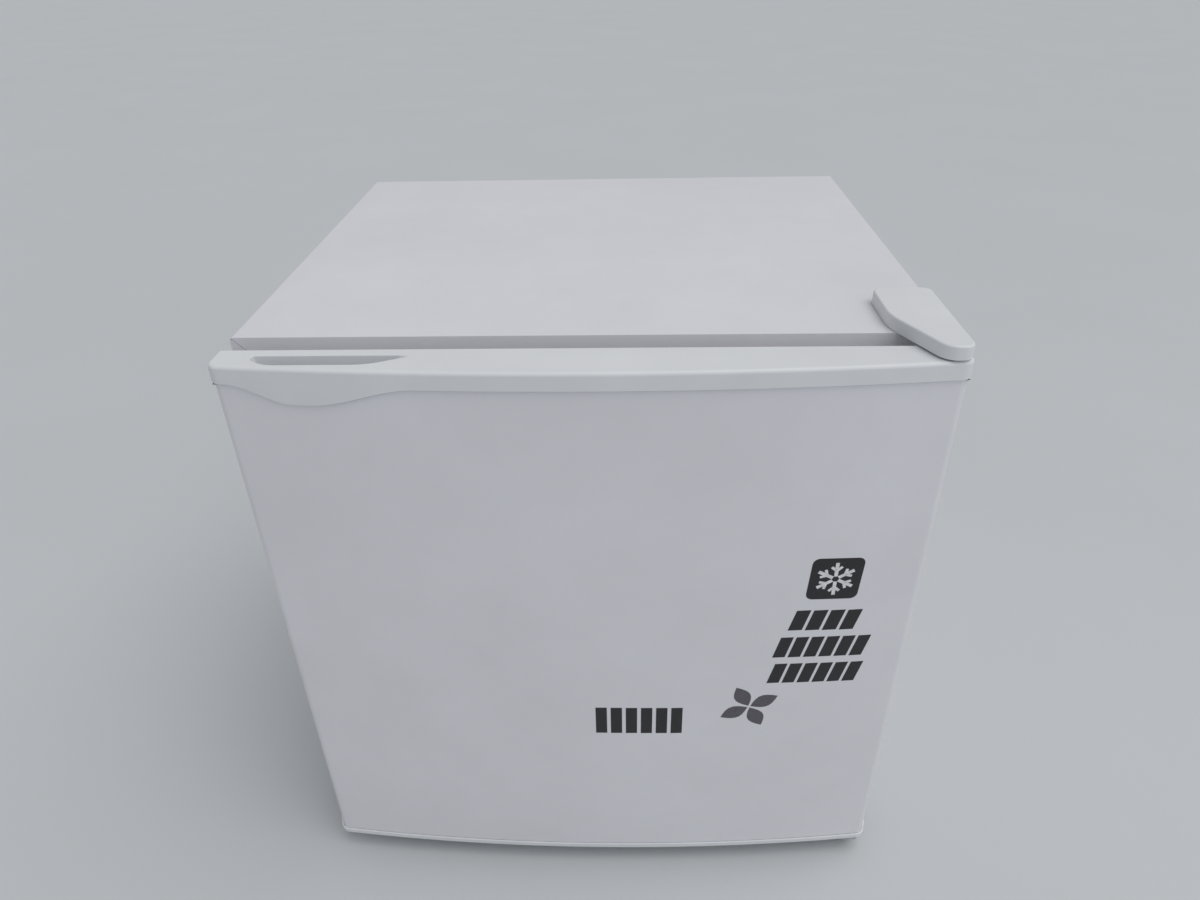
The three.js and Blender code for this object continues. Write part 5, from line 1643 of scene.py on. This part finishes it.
def compressor():
    """The pressed and welded compressor shell, its mounting foot, its rubber grommets and its relay."""
    low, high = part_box("compressor_mount")
    middle = (low + high) / 2
    casing(middle)
    bm = bmesh.new()
    face = plan_face(bm, [(low.x, low.y), (high.x, low.y), (high.x, high.y), (low.x, high.y)], low.z)
    face = round_plan(bm, face, 12 * MM, 5)
    top = pull(bm, [face], (0, 0, high.z - low.z))
    soften(bm, rim(top), 0.8 * MM, 2)
    piece("compressor_foot", bm, "cabinet", "black enamel", ["compressor_mount"])
    for i in range(4):
        grommet(f"compressor_grommet_{i + 1}")
    relay()


CASING_RADIUS = 62 * MM
CASING_STRETCH = 1.15  # the shell is a little longer than it is deep


def casing(middle):
    """The two pressed halves with their weld, and the ports for the two pipes."""
    low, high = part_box("compressor_shell")
    height = high.z - low.z
    # Shares of the radius and of the height.
    outline = [
        (0, 0),
        (0.5, 0.012),
        (0.76, 0.06),
        (0.9, 0.15),
        (0.97, 0.3),
        (1, 0.45),
        (1.04, 0.465),
        (1.04, 0.52),
        (1, 0.535),
        (0.985, 0.62),
        (0.93, 0.76),
        (0.8, 0.88),
        (0.55, 0.965),
        (0.3, 0.99),
        (0, 1),
    ]
    profile = [(CASING_RADIUS * r, height * z) for r, z in outline]
    bm = bmesh.new()
    stretch = Matrix.Diagonal((CASING_STRETCH, 1, 1, 1))
    turned(bm, profile, upright(middle.x, middle.y, low.z) @ stretch, 56)
    # Each port is (pipe, the pipe's radius, the port's radius).
    for pipe, pipe_radius, radius in (("discharge_line", 2.4, 3.2), ("suction_line", 3.5, 4.3)):
        pipe_low, pipe_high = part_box(pipe)
        y = (pipe_low.y + pipe_high.y) / 2
        z = pipe_low.z + pipe_radius * MM
        rod(bm, (low.x, y, z), (middle.x - CASING_RADIUS * 0.8, y, z), radius * MM, 20)
    piece("compressor_casing", bm, "cabinet", "black enamel", ["compressor_shell"])


GROMMET_BORE = 3.6 * MM
GROMMET_RADIUS = 11 * MM
GROMMET_NECK = 6 * MM


def grommet(name):
    """A waisted rubber bush with a neck through the foot and a head over it."""
    low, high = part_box(name)
    centre = (low + high) / 2
    tall = high.z - low.z
    profile = [
        (GROMMET_BORE, 0),
        (GROMMET_RADIUS - 1 * MM, 0),
        (GROMMET_RADIUS, 1 * MM),
        (GROMMET_RADIUS, 3 * MM),
        (GROMMET_RADIUS - 1.4 * MM, 4.5 * MM),
        (GROMMET_RADIUS, 6 * MM),
        (GROMMET_RADIUS, 10 * MM),
        (GROMMET_RADIUS - 1 * MM, 11 * MM),
        (GROMMET_NECK, 11 * MM),
        (GROMMET_NECK, 14.6 * MM),
        (GROMMET_NECK + 2.5 * MM, 14.6 * MM),
        (GROMMET_NECK + 1.4 * MM, tall - 1 * MM),
        (GROMMET_NECK, tall),
        (GROMMET_BORE, tall),
        (GROMMET_BORE, 0),
    ]
    bm = bmesh.new()
    turned(bm, profile, upright(centre.x, centre.y, low.z), 28)
    piece(name + "_moulding", bm, "cabinet", "rubber", [name])


def relay():
    """The starting relay's cover with four ribs."""
    low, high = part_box("relay_cover")
    bm = bmesh.new()
    block(bm, low, high, 4 * MM, 4)
    for i in range(4):
        z = low.z + 12 * MM + i * 8 * MM
        rib_low = (high.x - 1 * MM, low.y + 10 * MM, z)
        block(bm, rib_low, (high.x + 0.8 * MM, high.y - 10 * MM, z + 2.5 * MM), 0.6 * MM)
    piece("relay_casing", bm, "cabinet", "black plastic", ["relay_cover"])


DRIER_RADIUS = 9.5 * MM
DRIER_END = 3.2 * MM  # radius of its two ends, which the pipes enter


def drier():
    """The spun copper filter drier."""
    low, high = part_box("filter_drier")
    middle = (low + high) / 2
    tall = high.z - low.z
    end = [
        (0, 0),
        (DRIER_END, 0),
        (DRIER_END, 5 * MM),
        (4.5 * MM, 8 * MM),
        (8.4 * MM, 13 * MM),
        (DRIER_RADIUS, 17 * MM),
    ]
    profile = end + [(radius, tall - z) for radius, z in reversed(end)]
    bm = bmesh.new()
    turned(bm, profile, upright(middle.x, middle.y, low.z), 32)
    piece("drier_body", bm, "cabinet", "copper", ["filter_drier"])


# ---- Stage ----


def lamp(name, kind, place, aim, power, shade, size):
    """A soft light: an area lamp some metres wide, or a sun some degrees wide."""
    light = bpy.data.lights.new(name, kind)
    if kind == "AREA":
        light.size = size
    else:
        light.angle = math.radians(size)
    light.energy = power
    light.color = shade
    made = bpy.data.objects.new(name, light)
    bpy.context.scene.collection.objects.link(made)
    made.location = place
    made.rotation_euler = (Vector(aim) - Vector(place)).to_track_quat("-Z", "Y").to_euler()


CAMERA_PLACE = (0.025, -0.6759, 0.7203)
CAMERA_TURN = (57.879, 1.113, 1.429)  # tilt, roll and pan in degrees


def camera(sizes):
    """The camera stands above and in front, tipped down."""
    data = bpy.data.cameras.new("camera")
    data.lens = sizes.lens
    data.sensor_width = 36
    made = bpy.data.objects.new("camera", data)
    bpy.context.scene.collection.objects.link(made)
    made.location = CAMERA_PLACE
    made.rotation_euler = [math.radians(turn) for turn in CAMERA_TURN]
    bpy.context.scene.camera = made


FLOOR_REACH = 60.0
SKY = "d6d8dc"
SKY_STRENGTH = 0.62


def studio():
    """A wide paper floor, a soft overhead light, a weak fill from the right, and an even pale sky."""
    bm = bmesh.new()
    bmesh.ops.create_grid(bm, x_segments=8, y_segments=8, size=FLOOR_REACH)
    shown("studio_floor", bm, "floor")
    world = bpy.data.worlds.new("studio")
    bpy.context.scene.world = world
    world.use_nodes = True
    sky = world.node_tree.nodes["Background"]
    sky.inputs["Color"].default_value = linear(SKY)
    sky.inputs["Strength"].default_value = SKY_STRENGTH
    middle = (0, 0, 0.25)
    lamp("overhead", "SUN", (0.9, -0.35, 2.6), middle, 1.25, (1.0, 0.99, 0.98), 50)
    lamp("front_right", "AREA", (1.7, -1.9, 1.2), middle, 7, (0.97, 0.97, 1.0), 1.6)
    bpy.context.scene.view_settings.view_transform = "Standard"


# ---- Operators ----


class FRIDGE_OT_stage(bpy.types.Operator):
    """Sets the camera, the floor and the lights"""

    bl_idname = "fridge.stage"
    bl_label = "Stage"

    def execute(self, context):
        camera(context.scene.fridge_sizes)
        studio()
        return {"FINISHED"}


class FRIDGE_OT_finishes(bpy.types.Operator):
    """Gives the nodes that are shown as they stand their finishes"""

    bl_idname = "fridge.finishes"
    bl_label = "Frame finishes"

    def execute(self, context):
        cad_finishes()
        return {"FINISHED"}


class FRIDGE_OT_cabinet(bpy.types.Operator):
    """Folds the steel shell with its mitred front flanges"""

    bl_idname = "fridge.cabinet"
    bl_label = "Cabinet shell"

    def execute(self, context):
        cabinet_shell(context.scene.fridge_sizes)
        return {"FINISHED"}


class FRIDGE_OT_back(bpy.types.Operator):
    """Presses the back panel and sets its screws"""

    bl_idname = "fridge.back"
    bl_label = "Back"

    def execute(self, context):
        rear_sheet()
        rear_screws()
        return {"FINISHED"}


class FRIDGE_OT_spacers(bpy.types.Operator):
    """Moulds the two wall spacers"""

    bl_idname = "fridge.spacers"
    bl_label = "Wall spacers"

    def execute(self, context):
        spacers()
        return {"FINISHED"}


class FRIDGE_OT_bay(bpy.types.Operator):
    """Folds the sheet that lines the compressor bay"""

    bl_idname = "fridge.bay"
    bl_label = "Compressor bay"

    def execute(self, context):
        bay_parts()
        return {"FINISHED"}


class FRIDGE_OT_feet(bpy.types.Operator):
    """Makes the four feet"""

    bl_idname = "fridge.feet"
    bl_label = "Feet"

    def execute(self, context):
        feet()
        return {"FINISHED"}


class FRIDGE_OT_hinge_cover(bpy.types.Operator):
    """Moulds the cover of the top hinge"""

    bl_idname = "fridge.hinge_cover"
    bl_label = "Hinge cover"

    def execute(self, context):
        hinge_cover(context.scene.fridge_sizes)
        return {"FINISHED"}


class FRIDGE_OT_door_top(bpy.types.Operator):
    """Moulds the top cap with its finger grip"""

    bl_idname = "fridge.door_top"
    bl_label = "Door top"

    def execute(self, context):
        top_cap(context.scene.fridge_sizes)
        return {"FINISHED"}


class FRIDGE_OT_door_bottom(bpy.types.Operator):
    """Moulds the bottom cap"""

    bl_idname = "fridge.door_bottom"
    bl_label = "Door bottom"

    def execute(self, context):
        bottom_cap(context.scene.fridge_sizes)
        return {"FINISHED"}


class FRIDGE_OT_door_front(bpy.types.Operator):
    """Bends the door's bowed steel front"""

    bl_idname = "fridge.door_front"
    bl_label = "Door front"

    def execute(self, context):
        door_front(context.scene.fridge_sizes)
        return {"FINISHED"}


class FRIDGE_OT_door_seal(bpy.types.Operator):
    """Extrudes the seal round the door"""

    bl_idname = "fridge.door_seal"
    bl_label = "Door seal"

    def execute(self, context):
        seal_ring()
        return {"FINISHED"}


class FRIDGE_OT_door_liner(bpy.types.Operator):
    """Forms the door's inner sheet and its bosses"""

    bl_idname = "fridge.door_liner"
    bl_label = "Door liner"

    def execute(self, context):
        door_liner(context.scene.fridge_sizes)
        return {"FINISHED"}


class FRIDGE_OT_door_bins(bpy.types.Operator):
    """Moulds the two bins"""

    bl_idname = "fridge.door_bins"
    bl_label = "Door bins"

    def execute(self, context):
        door_bin("lower_door_bin", "lower_bin")
        door_bin("upper_door_bin", "upper_bin")
        return {"FINISHED"}


class FRIDGE_OT_door_marks(bpy.types.Operator):
    """Lays the printed marks on the door"""

    bl_idname = "fridge.door_marks"
    bl_label = "Door marks"

    def execute(self, context):
        door_marks()
        return {"FINISHED"}


class FRIDGE_OT_liner(bpy.types.Operator):
    """Forms the liner and its shelf ledges"""

    bl_idname = "fridge.liner"
    bl_label = "Liner"

    def execute(self, context):
        tub(context.scene.fridge_sizes)
        return {"FINISHED"}


class FRIDGE_OT_ice_box(bpy.types.Operator):
    """Bends the evaporator sleeve with its channels"""

    bl_idname = "fridge.ice_box"
    bl_label = "Ice box"

    def execute(self, context):
        ice_box()
        return {"FINISHED"}


class FRIDGE_OT_flap(bpy.types.Operator):
    """Moulds the ice box's flap"""

    bl_idname = "fridge.flap"
    bl_label = "Flap"

    def execute(self, context):
        flap()
        return {"FINISHED"}


class FRIDGE_OT_tray(bpy.types.Operator):
    """Moulds the tray under the ice box"""

    bl_idname = "fridge.tray"
    bl_label = "Melt tray"

    def execute(self, context):
        melt_tray()
        return {"FINISHED"}


class FRIDGE_OT_shelf(bpy.types.Operator):
    """Welds the wire shelf"""

    bl_idname = "fridge.shelf"
    bl_label = "Shelf"

    def execute(self, context):
        shelf()
        return {"FINISHED"}


class FRIDGE_OT_thermostat(bpy.types.Operator):
    """Moulds the thermostat's cover, knob and dial"""

    bl_idname = "fridge.thermostat"
    bl_label = "Thermostat"

    def execute(self, context):
        thermostat()
        return {"FINISHED"}


class FRIDGE_OT_compressor(bpy.types.Operator):
    """Presses the compressor, its foot, grommets and relay"""

    bl_idname = "fridge.compressor"
    bl_label = "Compressor"

    def execute(self, context):
        compressor()
        return {"FINISHED"}


class FRIDGE_OT_drier(bpy.types.Operator):
    """Spins the filter drier"""

    bl_idname = "fridge.drier"
    bl_label = "Filter drier"

    def execute(self, context):
        drier()
        return {"FINISHED"}


STEPS = (
    FRIDGE_OT_stage,
    FRIDGE_OT_finishes,
    FRIDGE_OT_cabinet,
    FRIDGE_OT_back,
    FRIDGE_OT_spacers,
    FRIDGE_OT_bay,
    FRIDGE_OT_feet,
    FRIDGE_OT_hinge_cover,
    FRIDGE_OT_door_top,
    FRIDGE_OT_door_bottom,
    FRIDGE_OT_door_front,
    FRIDGE_OT_door_seal,
    FRIDGE_OT_door_liner,
    FRIDGE_OT_door_bins,
    FRIDGE_OT_door_marks,
    FRIDGE_OT_liner,
    FRIDGE_OT_ice_box,
    FRIDGE_OT_flap,
    FRIDGE_OT_tray,
    FRIDGE_OT_shelf,
    FRIDGE_OT_thermostat,
    FRIDGE_OT_compressor,
    FRIDGE_OT_drier,
)


class FRIDGE_PT_panel(bpy.types.Panel):
    """Sizes, colours and a button for each piece"""

    bl_idname = "FRIDGE_PT_panel"
    bl_label = "Fridge"
    bl_space_type = "VIEW_3D"
    bl_region_type = "UI"
    bl_category = "Fridge"

    def draw(self, context):
        for group in (context.scene.fridge_sizes, context.scene.fridge_colours):
            for key in group.__annotations__:
                self.layout.prop(group, key)
        for step in STEPS:
            self.layout.operator(step.bl_idname)


CLASSES = (FridgeSizes, FridgeColours, *STEPS, FRIDGE_PT_panel)


def register():
    """Adds the operators, the panel and the settings to Blender."""
    for cls in CLASSES:
        bpy.utils.register_class(cls)
    bpy.types.Scene.fridge_sizes = PointerProperty(type=FridgeSizes)
    bpy.types.Scene.fridge_colours = PointerProperty(type=FridgeColours)


def unregister():
    """Takes them away again."""
    del bpy.types.Scene.fridge_colours
    del bpy.types.Scene.fridge_sizes
    for cls in reversed(CLASSES):
        bpy.utils.unregister_class(cls)


def main():
    """Builds the whole object."""
    register()
    bpy.ops.fridge.stage()
    bpy.ops.fridge.finishes()
    bpy.ops.fridge.cabinet()
    bpy.ops.fridge.back()
    bpy.ops.fridge.spacers()
    bpy.ops.fridge.bay()
    bpy.ops.fridge.feet()
    bpy.ops.fridge.hinge_cover()
    bpy.ops.fridge.door_top()
    bpy.ops.fridge.door_bottom()
    bpy.ops.fridge.door_front()
    bpy.ops.fridge.door_seal()
    bpy.ops.fridge.door_liner()
    bpy.ops.fridge.door_bins()
    bpy.ops.fridge.door_marks()
    bpy.ops.fridge.liner()
    bpy.ops.fridge.ice_box()
    bpy.ops.fridge.flap()
    bpy.ops.fridge.tray()
    bpy.ops.fridge.shelf()
    bpy.ops.fridge.thermostat()
    bpy.ops.fridge.compressor()
    bpy.ops.fridge.drier()
    bpy.context.view_layer.update()


if __name__ == "__main__":
    main()
